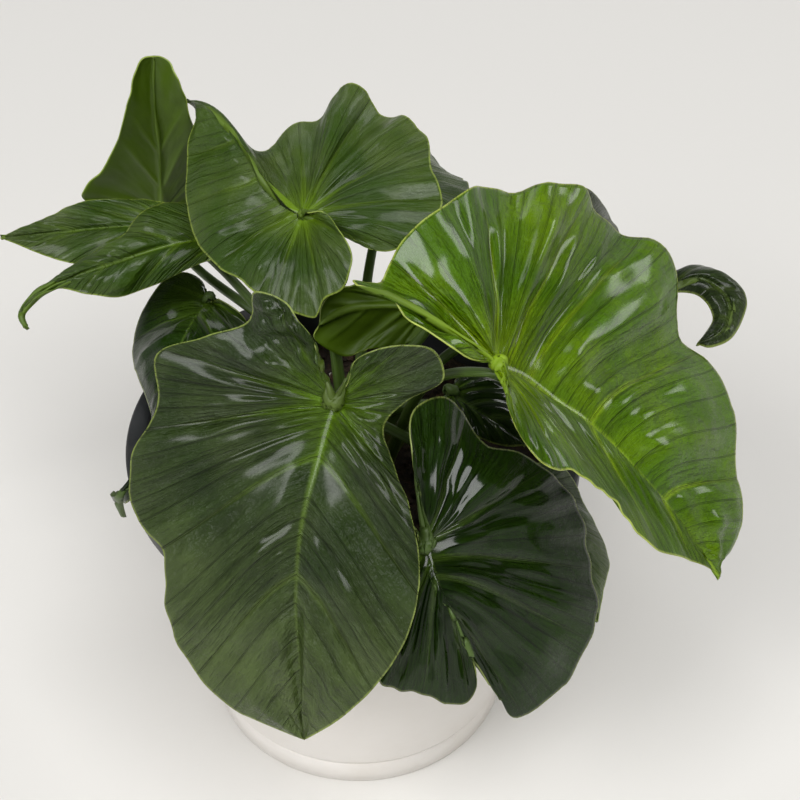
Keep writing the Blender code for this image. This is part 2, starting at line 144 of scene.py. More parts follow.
# Leaf blades, each with what sets it apart. The frame of a leaf has its origin where the stalk
# joins, +Y towards the tip, +X the right half and +Z the upper face, in millimetres.
#   at, turn            the frame's place in the plant, then its heading, pitch and roll in degrees
#   foot, lean          where round the stem the stalk starts, in degrees, and how far it leans out
#   inner               the stalk stands on the top of the stem instead of beside it
#   skin, slot          the leaf skin below and the part's colour slot
#   fine                a denser grid, for the leaves that face the viewer
#   veins, veinPower    side veins in each half, and how much they crowd towards the hub
#   fanRight, fanLeft   share of a margin whose veins start at the hub
#   puff                swelling between two veins as a share of their spacing
#   groove, ripple      depth of a side vein and height of the small waves of the margin
#   crimp, crumple      height of uneven dents all over, and of folds at the base of the right half
#   pleat               height of the fine pleats between side veins
#   valley, ribWidth    how deep the midrib lies, and its width against the usual one
#   rightRelief         share of the swelling that the right half has
#   spine, right, left  the midrib and the two margins, from the stalk to the tip
usualLeaf = {"inner": False, "fine": False, "veinPower": 1.7, "fanRight": 0.42, "fanLeft": 0.42,
             "crumple": 0.0, "pleat": 0.0, "valley": 0.9, "ribWidth": 1.0, "rightRelief": 1.0}
leaves = {
    "front": {
        "at": (-4, -45, 188), "turn": (-99, -52, 0), "foot": 262, "lean": 0.3, "skin": "dark",
        "slot": "leaf_dark", "fine": True, "veins": 6, "veinPower": 2.1, "puff": 0.09,
        "groove": 0.45, "ripple": 0.5, "crimp": 1.3, "crumple": 5.0, "pleat": 0.3, "valley": 1.2,
        "ribWidth": 0.85,
        "spine": [(3, 16, 3), (6, 37, 5), (6, 59, 4), (4, 81, 0), (1, 109, -9)],
        "right": [(4, -8, 3), (7, -19, 7), (16, -29, 8), (26, -32, 7), (28, -23, 2),
                  (42, -16, -1), (58, -8, -4), (56, 4, -5), (64, 27, -7), (61, 44, -8),
                  (51, 53, -5), (48, 72, -5), (27, 100, -8), (15, 105, -9)],
        "left": [(-4, -6, 3), (-6, -14, 6), (-18, -20, 8), (-29, -20, 7), (-33, -12, 3),
                 (-22, -3, 1), (-16, 5, 1), (-22, 19, 4), (-29, 34, 8), (-32, 50, 7),
                 (-30, 67, 6), (-22, 84, 3), (-9, 100, -3)],
    },
    "front_right": {
        "at": (24, -74, 156), "turn": (-50, -50, 0), "foot": 300, "lean": 0.5, "skin": "glossy",
        "slot": "leaf_dark", "fine": True, "veins": 7, "veinPower": 1.9, "puff": 0.12,
        "groove": 0.7, "ripple": 0.6, "crimp": 1.4, "pleat": 0.6, "valley": 1.3, "ribWidth": 0.6,
        "spine": [(3, 11, 3), (3, 24, 3), (2, 38, 0)],
        "right": [(2, -8, 0), (8, -9, -4), (15, 1, -10), (21, 19, -16), (26, 35, -18),
                  (18, 43, -12), (7, 53, -8), (4, 49, -3)],
        "left": [(-3, -14, 3), (-6, -29, 6), (-14, -39, 4), (-25, -38, 2), (-31, -30, 0),
                 (-34, -16, 0), (-42, -10, 3), (-49, 0, 2), (-58, 21, -4), (-55, 36, -6),
                 (-49, 52, -5), (-34, 65, -8), (-20, 69, -9), (-7, 67, -10), (-4, 58, -7)],
    },
    "right_bright": {
        "at": (45, -45, 205), "turn": (-28, -36, 0), "foot": 330, "lean": 0.3, "skin": "bright",
        "slot": "leaf_bright", "fine": True, "veins": 8, "veinPower": 1.9, "puff": 0.15,
        "groove": 0.9, "ripple": 0.9, "crimp": 2.0, "pleat": 0.7, "valley": 0.9, "ribWidth": 0.7,
        "rightRelief": 0.3,
        "spine": [(-2, 7, 1), (-4, 19, 2), (-5, 30, 4), (-6, 42, 4), (-5, 55, 4), (-6, 68, 2),
                  (-6, 85, -2), (-7, 96, -6), (-8, 100, -8)],
        "right": [(2, 4, 1), (13, 6, 6), (22, 12, 10), (28, 20, 13), (29, 27, 15), (23, 33, 14),
                  (20, 42, 13), (16, 51, 10), (15, 61, 6), (12, 71, 3), (0, 86, -3), (-6, 95, -6)],
        "left": [(5, -4, 1), (11, -15, 2), (11, -23, 0), (11, -30, -2), (9, -35, -2),
                 (14, -48, -4), (3, -41, -8), (-3, -43, -6), (-8, -45, -2), (-14, -45, 3),
                 (-25, -43, 5), (-47, -38, 2), (-61, -28, -3), (-66, -24, 1), (-79, -11, 4),
                 (-80, -2, 0), (-84, 9, -3), (-87, 15, 1), (-85, 31, 2), (-73, 41, -3),
                 (-69, 46, -4), (-69, 56, -1), (-57, 72, 1), (-42, 84, -1), (-29, 94, -3),
                 (-19, 98, -6), (-9, 97, -7)],
    },
    "centre": {
        "at": (-16, 27, 205), "turn": (131, 5, -12), "foot": 130, "lean": 0.2, "inner": True,
        "skin": "mid", "slot": "leaf_mid", "fine": True, "veins": 7, "puff": 0.13, "groove": 0.7,
        "ripple": 0.6, "crimp": 0.9, "valley": 0.2, "ribWidth": 0.35, "fanRight": 0.78,
        "fanLeft": 0.5,
        "spine": [(-3, 6, 3), (-4, 14, 6), (-1, 26, 8), (2, 39, 9), (4, 52, 9), (2, 68, 5)],
        "right": [(5, -4, 1), (6, -14, -2), (7, -22, -4), (11, -28, -5), (19, -32, -4),
                  (35, -30, 0), (42, -17, 3), (51, -4, 1), (51, 7, 2), (48, 18, -2), (49, 25, 5),
                  (47, 29, 6), (40, 31, 3), (31, 31, -1), (26, 34, 0), (11, 34, -3), (9, 48, -6),
                  (6, 62, 0)],
        "left": [(0, -4, 4), (3, -8, 5), (2, -17, 5), (-2, -28, 1), (-9, -30, -5),
                 (-16, -27, -8), (-19, -28, -12), (-23, -22, -12), (-28, -11, -9), (-28, 1, -10),
                 (-30, 10, -10), (-29, 21, -9), (-26, 31, -7), (-16, 45, -4), (-7, 54, 1),
                 (1, 58, 6)],
    },
    "upright": {
        "at": (-73, 86, 161), "turn": (-70, 75, 0), "foot": 112, "lean": 0.6, "skin": "mid",
        "slot": "leaf_olive", "veins": 5, "puff": 0.04, "groove": 0.25, "ripple": 0.4,
        "crimp": 0.4, "valley": 0.6,
        "spine": [(-1, 23, 2), (0, 50, 2), (0, 67, 3), (-1, 79, 4)],
        "right": [(10, -1, 0), (22, 8, 0), (29, 17, 2), (21, 29, 2), (15, 42, 1), (12, 56, 0),
                  (9, 67, 0), (6, 76, 2), (3, 80, 3)],
        "left": [(-9, -3, 0), (-16, 9, -2), (-17, 31, -4), (-11, 53, -8), (-9, 64, -9),
                 (-8, 71, -8), (-6, 78, -6), (-5, 80, -1), (-3, 80, 2)],
    },
    "left_far": {
        "at": (-65, 65, 172), "turn": (178, 3, -25), "foot": 150, "lean": 0.15, "skin": "mid",
        "slot": "leaf_mid", "veins": 6, "puff": 0.08, "groove": 0.3, "ripple": 0.3, "crimp": 0.6,
        "ribWidth": 0.5,
        "spine": [(-3, 19, 2), (-7, 40, 2), (-10, 62, 0)],
        "right": [(4, -4, 0), (7, 3, 2), (8, 11, 2), (7, 22, 3), (6, 35, 1), (-1, 45, 2),
                  (-6, 55, 1)],
        "left": [(-6, -1, 0), (-13, 10, -2), (-18, 22, -1), (-19, 33, 1), (-15, 48, 0),
                 (-12, 56, 0)],
    },
    "left_near": {
        "at": (-44, 47, 181), "turn": (192, -8, -22), "foot": 178, "lean": 0.05, "skin": "mid",
        "slot": "leaf_mid", "veins": 6, "veinPower": 1.0, "puff": 0.08, "groove": 0.3,
        "ripple": 0.3, "crimp": 0.6, "ribWidth": 0.5, "fanRight": 0.33, "fanLeft": 0.33,
        "spine": [(0, 18, 3), (-2, 38, 4), (-3, 56, 2), (-5, 70, -1), (-10, 76, -3),
                  (-15, 75, -4)],
        "right": [(8, 0, 0), (15, 10, 1), (18, 19, 1), (16, 27, 2), (8, 37, 2), (3, 54, 1),
                  (-2, 65, 0), (-5, 72, -1), (-9, 77, -3)],
        "left": [(-7, 0, 0), (-7, 10, -2), (-11, 31, -3), (-12, 41, -3), (-10, 51, 0),
                 (-4, 64, -1), (-7, 71, -2), (-10, 76, -3)],
    },
    "left_hanging": {
        "at": (-53, 47, 152), "turn": (228, -20, 0), "foot": 215, "lean": 0.5, "skin": "glossy",
        "slot": "leaf_dark", "veins": 6, "veinPower": 1.0, "puff": 0.05, "groove": 0.3,
        "ripple": 0.4, "crimp": 0.4, "ribWidth": 0.5, "fanRight": 0.25, "fanLeft": 0.25,
        "spine": [(-10, 16, 11), (-16, 31, 11), (-23, 46, 8), (-31, 59, 8), (-38, 72, 12),
                  (-36, 76, 9), (-27, 78, -6), (-24, 79, -18)],
        "right": [(7, -4, 1), (14, -2, 4), (17, 4, 5), (17, 12, 4), (15, 23, 1), (11, 31, -1),
                  (-6, 41, 2), (-21, 50, 4), (-30, 61, 6), (-36, 72, 11), (-34, 76, 9),
                  (-23, 78, -8)],
        "left": [(-8, -1, 2), (-22, 1, 1), (-31, 15, 5), (-35, 31, 5), (-40, 48, 7),
                 (-43, 64, 9), (-42, 71, 12), (-40, 76, 9), (-27, 77, -8)],
    },
    "inner": {
        "at": (26, 8, 182), "turn": (180, 0, 105), "foot": 50, "lean": 0.3, "inner": True,
        "skin": "mid", "slot": "leaf_olive", "veins": 6, "puff": 0.05, "groove": 0.3,
        "ripple": 0.3, "crimp": 0.3, "ribWidth": 0.5,
        "spine": [(0, 17, 1), (3, 30, 1), (7, 37, 0)],
        "right": [(6, -1, 0), (11, 3, 0), (16, 11, 1), (16, 19, 0), (20, 29, 2), (17, 34, 1),
                  (11, 39, 0)],
        "left": [(-6, 8, 0), (-8, 20, 0), (-6, 30, 0), (0, 36, 0)],
    },
    "right_hooked": {
        "at": (92, 20, 172), "turn": (5, 0, -10), "foot": 8, "lean": 0.5, "skin": "dark",
        "slot": "leaf_dark", "veins": 6, "veinPower": 1.0, "puff": 0.05, "groove": 0.3,
        "ripple": 0.3, "crimp": 0.3, "ribWidth": 0.5, "fanRight": 0.25, "fanLeft": 0.25,
        "spine": [(-6, 17, 3), (-9, 30, 3), (-1, 37, -1), (7, 35, -6), (10, 29, -9),
                  (10, 24, -11)],
        "right": [(11, 0, 0), (1, 11, 0), (-6, 20, 0), (-5, 27, -1), (-1, 30, -3), (2, 31, -6),
                  (6, 28, -9)],
        "left": [(-14, 1, 0), (-20, 12, 1), (-17, 23, 2), (-21, 32, 2), (-17, 36, 2),
                 (-3, 44, -2), (4, 41, -7), (13, 32, -10), (13, 27, -11)],
    },
    "back_right": {
        "at": (67, 34, 176), "turn": (45, -30, 0), "foot": 38, "lean": 0.4, "skin": "dark",
        "slot": "leaf_dark", "veins": 8, "puff": 0.06, "groove": 0.35, "ripple": 0.5, "crimp": 0.6,
        "spine": [(-5, 17, 7), (-12, 40, 10), (-19, 65, 5), (-26, 92, -7)],
        "right": [(8, -3, -4), (16, 8, -5), (15, 33, -5), (5, 59, -5), (-11, 82, -6)],
        "left": [(-7, -2, 1), (-19, 8, 9), (-24, 24, 17), (-23, 42, 22), (-19, 52, 18),
                 (-20, 66, 11), (-22, 83, 2)],
    },
    "under_right": {
        "at": (53, -46, 150), "turn": (-38, -42, 0), "foot": 250, "lean": 0.1, "inner": True,
        "skin": "mid", "slot": "leaf_mid", "veins": 6, "puff": 0.05, "groove": 0.3, "ripple": 0.3,
        "crimp": 0.4,
        "spine": [(-3, 14, 0), (-7, 32, -5), (-6, 48, -9), (-4, 55, -11)],
        "right": [(7, 2, -1), (8, 15, -5), (6, 32, -9), (1, 47, -11)],
        "left": [(-6, -3, 0), (-16, 0, 1), (-22, 8, 0), (-23, 20, -4), (-23, 34, -7),
                 (-21, 43, -9), (-12, 49, -10)],
    },
    # low_centre wears the darkest skin as painted shade, for it lies deep in the shade at the heart
    # of the plant
    "low_centre": {
        "at": (33, -6, 156), "turn": (-35, -20, 0), "foot": 340, "lean": 0.2, "inner": True,
        "skin": "glossy", "slot": "leaf_dark", "veins": 6, "puff": 0.05, "groove": 0.3,
        "ripple": 0.3, "crimp": 0.3, "ribWidth": 0.5,
        "spine": [(1, 12, 3), (-1, 22, 2), (-2, 31, 0)],
        "right": [(4, 0, 0), (8, 8, 0), (7, 20, 0), (3, 27, 0)],
        "left": [(-6, -2, 0), (-12, 4, 2), (-15, 14, 2), (-13, 25, 0)],
    },
    "back": {
        "at": (11, 69, 184), "turn": (70, -30, 0), "foot": 85, "lean": 0.4, "skin": "mid",
        "slot": "leaf_mid", "veins": 8, "puff": 0.06, "groove": 0.35, "ripple": 0.5, "crimp": 0.5,
        "spine": [(-1, 14, 8), (-1, 35, 12), (-3, 59, 10), (-4, 78, 4), (-4, 100, -7)],
        "right": [(5, -5, -5), (14, -1, -5), (22, 15, -4), (22, 37, 1), (15, 51, 3), (8, 68, -1),
                  (2, 85, -6)],
        "left": [(-8, 0, -1), (-20, 11, 2), (-29, 31, 6), (-29, 49, 10), (-24, 66, 12),
                 (-16, 77, 11), (-9, 90, 4)],
    },
}
leaves = {name: {**usualLeaf, **leaf} for name, leaf in leaves.items()}

# What all blades share, in millimetres where it is a length. "thin" and "thick" are the walls at
# the margin and at the midrib, "camber" the arch of a half, "bow" how far a side vein bends for
# its length, "waveRows" the rows of the grid that one small wave takes.
blade = {"rows": 96, "halfColumns": 26, "fineRows": 150, "fineHalfColumns": 42, "thin": 0.5,
         "thick": 2.2, "camber": 2.0, "bow": 0.09, "swell": 0.9, "swellSize": 26, "mostPuff": 2.8,
         "grooveHalf": 1.5, "veinHalf": 0.6, "ribHalf": 2.3, "ribTaper": 1.7, "ribRise": 0.1,
         "valleyHalf": 5.5, "valleyTaper": 3.5, "pleatsPerVein": 3, "pleatGap": 9, "crimpGap": 7,
         "foldSize": 9, "waveRows": 11, "waveReach": 40}


def leafFrame(leaf):
    heading, pitch, roll = (math.radians(a) for a in leaf["turn"])
    level = Vector((math.sin(heading), -math.cos(heading), 0))
    tip = Vector((0, 0, math.sin(pitch)))
    tip += Vector((math.cos(heading), math.sin(heading), 0)) * math.cos(pitch)
    upper = level.cross(tip)
    side = level * math.cos(roll) - upper * math.sin(roll)
    upper = level * math.sin(roll) + upper * math.cos(roll)
    axes = Matrix((side, tip, upper)).transposed().to_4x4()
    return Matrix.Translation(Vector(leaf["at"]) * mm) @ axes


# One half of a blade as a grid of points: rows follow the side veins, columns run from the midrib
# out to the margin. Also returns how far each row is along the leaf, how far each column is out,
# where on the midrib each row starts, and each row's length. "seed" sets the leaves apart.
def bladeHalf(leaf, key, sign, rows, columns, seed):
    spine = smoothLine([(0, 0, 0)] + leaf["spine"], 6 * rows + 1)
    margin = smoothLine([(0, 0, 0)] + leaf[key] + [leaf["spine"][-1]], rows + 1)
    fan = leaf["fanRight" if sign > 0 else "fanLeft"]
    along = np.linspace(0, 1, rows + 1)
    reach = np.linspace(0, 1, columns + 1)
    start = np.maximum(0, (along - fan) / (1 - fan)) ** leaf["veinPower"]
    roots = resample(spine, start)
    out = margin - roots
    length = np.linalg.norm(out, axis=1)
    r = reach[None, :, None]
    points = roots[:, None] * (1 - r) + margin[:, None] * r
    arch = (4 * reach * (1 - reach))[None, :]
    points[:, :, 2] += blade["camber"] * arch * np.sin(math.pi * along)[:, None]
    # side veins leave the midrib steeply and bend towards the tip
    bend = blade["bow"] * easeStep(fan * 0.7, 1, along) * (1 - easeStep(0.85, 1, along)) * length
    points[:, :, 1] -= bend[:, None] * arch * (1 - reach)[None, :] * 1.5
    # broad uneven swelling, none at the margin
    for i in range(rows + 1):
        for j in range(1, columns):
            place = Vector(points[i, j]) / blade["swellSize"] + Vector((seed * 7.3, sign * 3.1, 0))
            swell = blade["swell"] * noise.noise(place) * min(1, 3 * arch[0, j])
            points[i, j, 2] += swell * min(1, length[i] / 12)
    return points, along, reach, start, length


# Works the veins, the swellings between them and the small waves of the margin into the grid.
# Returns each row's place in the count of veins, the spacing of the veins in millimetres, the
# distance from the midrib in half widths, and the thickness as a share of the most.
def addRelief(leaf, points, along, reach, start, length, sign, seed):
    # the veins aren't quite evenly spaced
    wobble = 0.16 * np.sin(2 * math.pi * (2.3 * along + seed * 0.37))
    wobble += 0.1 * np.sin(2 * math.pi * (5.1 * along + seed * 0.61))
    rank = leaf["veins"] * along + wobble * np.sin(math.pi * along)
    downRows = np.gradient(points, axis=0)
    acrossColumns = np.gradient(points, axis=1)
    normal = np.cross(acrossColumns * sign, downRows)
    size = np.linalg.norm(normal, axis=2, keepdims=True)
    normal = np.where(size > 1e-6, normal / np.maximum(size, 1e-6), (0, 0, 1))
    acrossSize = np.maximum(np.linalg.norm(acrossColumns, axis=2), 1e-6)
    gap = size[:, :, 0] / acrossSize / np.maximum(np.gradient(rank), 1e-3)[:, None]
    r = reach[None, :]
    toVein = np.abs(rank - np.round(rank))[:, None] * gap
    strength = 0.7 + 0.3 * np.cos(2 * math.pi * (np.round(rank) * 0.38 + seed * 0.17))[:, None]
    inner = easeStep(0.02, 0.22, r) * (1 - 0.75 * easeStep(0.7, 1.0, r))
    puff = np.minimum(leaf["puff"] * gap, blade["mostPuff"])
    puff = puff * np.abs(np.sin(math.pi * rank))[:, None] ** 0.8
    relief = leaf["rightRelief"] if sign > 0 else 1
    height = relief * puff * strength * inner
    height -= leaf["groove"] * strength * np.exp(-(toVein / blade["grooveHalf"]) ** 2) * inner
    # pleats between the side veins, in patches
    patch = np.array([[noise.noise(Vector((rank[i] * 0.9 + seed, reach[j] * 2.4, sign * 4.4)))
                       for j in range(reach.size)] for i in range(rank.size)])
    pleat = np.sin(2 * math.pi * (blade["pleatsPerVein"] * rank + 0.3 * np.sin(4 * rank)))[:, None]
    pleat = pleat * easeStep(-0.15, 0.25, patch) * inner * np.minimum(1, gap / blade["pleatGap"])
    height += relief * leaf["pleat"] * pleat
    # midrib, raised a little in the floor of its valley
    ribWidth = (blade["ribHalf"] - blade["ribTaper"] * start[:, None]) * leaf["ribWidth"]
    fromRib = r * length[:, None] / ribWidth
    ribFade = 1 - easeStep(0.92, 1, along)[:, None]
    valleyWidth = blade["valleyHalf"] - blade["valleyTaper"] * start[:, None]
    valley = leaf["valley"] * np.exp(-r * length[:, None] / valleyWidth)
    height -= (valley - blade["ribRise"] * np.exp(-fromRib**2)) * ribFade
    # uneven dents
    crimp = np.array([[
        noise.noise(Vector((rank[i] * 2.4 + sign * 20, reach[j] * 3.0, seed * 5.7)))
        + 0.45 * noise.noise(Vector((rank[i] * 6.5, reach[j] * 4.5, seed * 3.3 + sign)))
        for j in range(reach.size)] for i in range(rank.size)])
    height += relief * leaf["crimp"] * crimp * inner * np.minimum(1, gap / blade["crimpGap"])
    if leaf["crumple"] and sign > 0:
        basal = (1 - easeStep(0.14, 0.34, along))[:, None] * easeStep(0.15, 0.6, r)
        basal = basal * (1 - 0.8 * easeStep(0.8, 1, r))
        shift = Vector((2.2, 0, seed))
        folds = np.array([[noise.noise(Vector(point) / blade["foldSize"] + shift) for point in row]
                          for row in points])
        height += leaf["crumple"] * (np.abs(folds) * 2 - 0.3) * basal
    # small waves along the margin
    waves = length.size / blade["waveRows"] * along + 0.7 * np.sin(9 * along + seed)
    wave = np.sin(2 * math.pi * waves)[:, None]
    edge = easeStep(0.62, 1, r) * np.sin(math.pi * along)[:, None] ** 0.5
    edge = edge * np.minimum(1, length[:, None] / blade["waveReach"])
    height += relief * leaf["ripple"] * wave * edge
    points += normal * height[:, :, None]
    thick = np.exp(-(fromRib * 0.8) ** 2) * (1 - 0.75 * start[:, None])
    veinThick = 0.45 * np.exp(-(toVein / blade["veinHalf"]) ** 2) * (1 - r) * strength
    thick = np.maximum(thick, veinThick)
    return rank, gap, fromRib, thick


def makeBlade(name, leaf, number):
    rows = blade["fineRows" if leaf["fine"] else "rows"]
    columns = blade["fineHalfColumns" if leaf["fine"] else "halfColumns"]
    halves = {}
    for key, sign in (("left", -1), ("right", 1)):
        points, along, reach, start, length = bladeHalf(leaf, key, sign, rows, columns, number)
        relief = addRelief(leaf, points, along, reach, start, length, sign, number)
        halves[sign] = (points, *relief, length)
    ribLine = (halves[-1][0][:, 0] + halves[1][0][:, 0]) / 2
    leafLength = float(np.linalg.norm(np.diff(ribLine, axis=0), axis=1).sum())
    sheet = bmesh.new()
    sheet.loops.layers.uv.new("veinLines")  # vein count, 100 more on the left half; reach
    bmesh.ops.create_grid(sheet, x_segments=2 * columns, y_segments=rows, size=1.0, calc_uvs=True)
    lines = sheet.loops.layers.uv["veinLines"]
    sizes = sheet.verts.layers.float_vector.new("leafSizes")  # from the midrib, to the margin, gap
    hub = sheet.verts.layers.float.new("toJunction")  # per cent of the leaf's length
    groups = sheet.verts.layers.deform.new("wall")
    toPlant = leafFrame(leaf)
    for face in sheet.faces:
        sign = 1 if face.calc_center_median().x > 0 else -1
        for loop in face.loops:
            u, v = loop[lines].uv
            row = round(v * rows)
            loop[lines].uv = (halves[sign][1][row] + (100 if sign < 0 else 0), abs(2 * u - 1))
    for vertex in sheet.verts:
        column = round(vertex.co.x * columns)
        row = round((vertex.co.y + 1) / 2 * rows)
        points, rank, gap, fromRib, thick, length = halves[1 if column >= 0 else -1]
        column = abs(column)
        place = ribLine[row] if column == 0 else points[row, column]
        toMargin = (1 - column / columns) * length[row]
        vertex[sizes] = (fromRib[row, column], toMargin, gap[row, column])
        vertex[hub] = 100 * float(np.linalg.norm(place)) / leafLength
        vertex[groups][0] = float(thick[row, column])
        vertex.co = toPlant @ (Vector(place) * mm)
    bmesh.ops.remove_doubles(sheet, verts=sheet.verts, dist=0.02 * mm)
    bmesh.ops.dissolve_degenerate(sheet, edges=sheet.edges, dist=0.005 * mm)
    piece = finishPiece("leaf_" + name, sheet, leafMaterials[leaf["skin"]],
                        "blade_" + name)
    piece.vertex_groups.new(name="wall")
    wall = piece.modifiers.new("Wall", "SOLIDIFY")
    wall.thickness = blade["thick"] * mm
    wall.offset = -1
    wall.vertex_group = "wall"
    wall.thickness_vertex_group = blade["thin"] / blade["thick"]
    wall.material_offset = 1
    wall.material_offset_rim = 2
    return piece


# Leaf skins. The upper face of a philodendron leaf is green tissue under a clear waxy cuticle,
# satin to glossy, with pale sunken veins and fine lines that follow them. The tissue has a low IOR,
# so that its own shine is faint and its green stays deep, and the coat gives the gloss of the wax.
# Each skin's second green is a paler, greyer green that stands partly for painted sheen;
# tipPaintedSheen is how far the tip is painted towards it.
leafSkins = {
    "dark": {"green": "#1d2e07", "second": "#4c5a30", "vein": "#4e6026", "rib": "#546826",
             "hub": "#5a7c04", "edge": "#8c9c4c", "under": "#3c4e0a", "roughness": 0.36,
             "ior": 1.26, "coat": 0.32, "coatRoughness": 0.2, "veinShow": 0.6, "streak": 1.6,
             "bump": 1.9, "tipPaintedSheen": 0.7, "blotch": 0.35},
    "glossy": {"green": "#122602", "second": "#263c0c", "vein": "#485c2c", "rib": "#4a602a",
               "hub": "#4a6418", "edge": "#7d8a44", "under": "#33450f", "roughness": 0.3,
               "ior": 1.1, "coat": 0.55, "coatRoughness": 0.12, "veinShow": 0.7, "streak": 1.2,
               "bump": 2.6, "tipPaintedSheen": 0.2, "blotch": 0.5},
    "mid": {"green": "#2c4408", "second": "#5c6c34", "vein": "#526a1c", "rib": "#587020",
            "hub": "#648212", "edge": "#8da044", "under": "#425a02", "roughness": 0.36,
            "ior": 1.28, "coat": 0.22, "coatRoughness": 0.22, "veinShow": 0.5, "streak": 0.5,
            "bump": 0.9, "tipPaintedSheen": 0.3, "blotch": 0.45},
    "bright": {"green": "#406200", "second": "#5c7a00", "vein": "#84a414", "rib": "#84a414",
               "hub": "#7a9806", "edge": "#a8b850", "under": "#56700e", "roughness": 0.33,
               "ior": 1.18, "coat": 0.55, "coatRoughness": 0.16, "veinShow": 0.8, "streak": 1.1,
               "bump": 2.8, "tipPaintedSheen": 0.2, "blotch": 0.8},
}


def upperSkin(name, look):
    material, tree, shader = startMaterial(name, look["green"])
    veinLines = addNode(tree, "UVMap", uv_map="veinLines")
    line = addNode(tree, "SeparateXYZ", {0: veinLines})
    rank, reach = line.outputs[0], line.outputs[1]
    size = addNode(tree, "Attribute", attribute_name="leafSizes").outputs["Vector"]
    size = addNode(tree, "SeparateXYZ", {0: size})
    fromRib, fromMargin, gap = size.outputs
    place = addNode(tree, "TexCoord").outputs["Object"]
    # broad blotches, about 25 mm across, that mix in the second green: partly the leaf's uneven
    # tone and partly painted sheen
    blotch = addNode(tree, "TexNoise", {"Vector": place, "Scale": 40.0, "Detail": 3.0})
    blotch = addNode(tree, "MapRange", {0: blotch, 1: 0.42, 2: 0.7, 3: 0.0, 4: 1.0})
    # streaks that follow the side veins, partly the fine veins' own tone and partly painted sheen
    stretched = addNode(tree, "VectorMath", {0: veinLines, 1: (9.0, 2.2, 1.0)},
                        operation="MULTIPLY")
    streak = addNode(tree, "TexNoise", {"Vector": stretched, "Scale": 1.0, "Detail": 4.0,
                                        "Roughness": 0.6})
    apart = addNode(tree, "MapRange", {0: gap, 1: 1.5, 2: 7.0, 3: 0.0, 4: 1.0})
    streakShow = addNode(tree, "Math", {0: streak, 1: 0.5}, operation="SUBTRACT")
    streakShow = addNode(tree, "Math", {0: streakShow, 1: apart}, operation="MULTIPLY")
    # main side veins, half as wide as about 1 mm at the midrib and a quarter of that at the margin
    toVein = addNode(tree, "Math", {0: rank, 1: 0.5}, operation="PINGPONG")
    toVein = addNode(tree, "Math", {0: toVein, 1: gap}, operation="MULTIPLY")
    width = addNode(tree, "MapRange", {0: reach, 1: 0.0, 2: 1.0, 3: 1.0, 4: 0.25})
    mainVein = addNode(tree, "Math", {0: toVein, 1: width}, operation="DIVIDE")
    mainVein = addNode(tree, "MapRange", {0: mainVein, 1: 0.2, 2: 1.7, 3: 1.0, 4: 0.0},
                       interpolation_type="SMOOTHSTEP")
    veinFade = addNode(tree, "MapRange", {0: reach, 1: 0.3, 2: 1.1, 3: look["veinShow"], 4: 0.08})
    veinShow = addNode(tree, "Math", {0: mainVein, 1: veinFade}, operation="MULTIPLY")
    # finer veins between them, a fifth of the spacing apart
    finer = addNode(tree, "Math", {0: rank, 1: 5.0}, operation="MULTIPLY")
    finer = addNode(tree, "Math", {0: finer, 1: 0.5}, operation="PINGPONG")
    finer = addNode(tree, "Math", {0: finer, 1: gap}, operation="MULTIPLY")
    finer = addNode(tree, "MapRange", {0: finer, 1: 0.3, 2: 1.6, 3: 1.0, 4: 0.0},
                    interpolation_type="SMOOTHSTEP")
    finer = addNode(tree, "Math", {0: finer, 1: apart}, operation="MULTIPLY")
    # midrib, whose half width is 1 in this attribute, and the paler hub where all veins meet
    toHub = addNode(tree, "Attribute", attribute_name="toJunction").outputs["Fac"]
    ribShow = addNode(tree, "MapRange", {0: toHub, 1: 15.0, 2: 80.0, 3: 0.8, 4: 0.25})
    rib = addNode(tree, "MapRange", {0: fromRib, 1: 0.0, 2: 1.5, 3: ribShow, 4: 0.0},
                  interpolation_type="SMOOTHSTEP")
    nearHub = addNode(tree, "MapRange", {0: toHub, 1: 6.0, 2: 45.0, 3: 1.0, 4: 0.0})
    ribColour = addNode(tree, "Mix", {0: nearHub, 6: linearColour(look["rib"]),
                                      7: linearColour(look["hub"])}, data_type="RGBA")
    hubGlow = addNode(tree, "MapRange", {0: toHub, 1: 0.0, 2: 24.0, 3: 0.55, 4: 0.0},
                      interpolation_type="SMOOTHSTEP")
    edge = addNode(tree, "MapRange", {0: fromMargin, 1: 0.15, 2: 0.8, 3: 0.85, 4: 0.0},
                   interpolation_type="SMOOTHSTEP")
    # painted sheen: paler and greyer towards the tip, where the blade turns down to face the bright
    # room
    pale = addNode(tree, "MapRange", {0: toHub, 1: 45.0, 2: 90.0, 3: 0.0, 4: look["tipPaintedSheen"]})
    pale = addNode(tree, "Math", {0: blotch, 1: look["blotch"], 2: pale}, operation="MULTIPLY_ADD",
                   use_clamp=True)
    green = addNode(tree, "Mix", {0: pale, 6: linearColour(look["green"]),
                                  7: linearColour(look["second"])}, data_type="RGBA")
    # painted sheen in part: the streaks lighten and darken the green, and the finer veins lift it a
    # little
    lift = addNode(tree, "Math", {0: streakShow, 1: look["streak"], 2: 1.0},
                   operation="MULTIPLY_ADD")
    lift = addNode(tree, "Math", {0: finer, 1: 0.06, 2: lift}, operation="MULTIPLY_ADD")
    green = addNode(tree, "VectorMath", {0: green.outputs[2], "Scale": lift}, operation="SCALE")
    veinColour = addNode(tree, "Mix", {0: nearHub, 6: linearColour(look["vein"]),
                                       7: linearColour(look["hub"])}, data_type="RGBA")
    for share, over in ((veinShow, veinColour.outputs[2]), (hubGlow, linearColour(look["hub"])),
                        (rib, ribColour.outputs[2]), (edge, linearColour(look["edge"]))):
        green = addNode(tree, "Mix", {0: share, 6: green, 7: over}, data_type="RGBA").outputs[2]
    tree.links.new(green, shader.inputs["Base Color"])
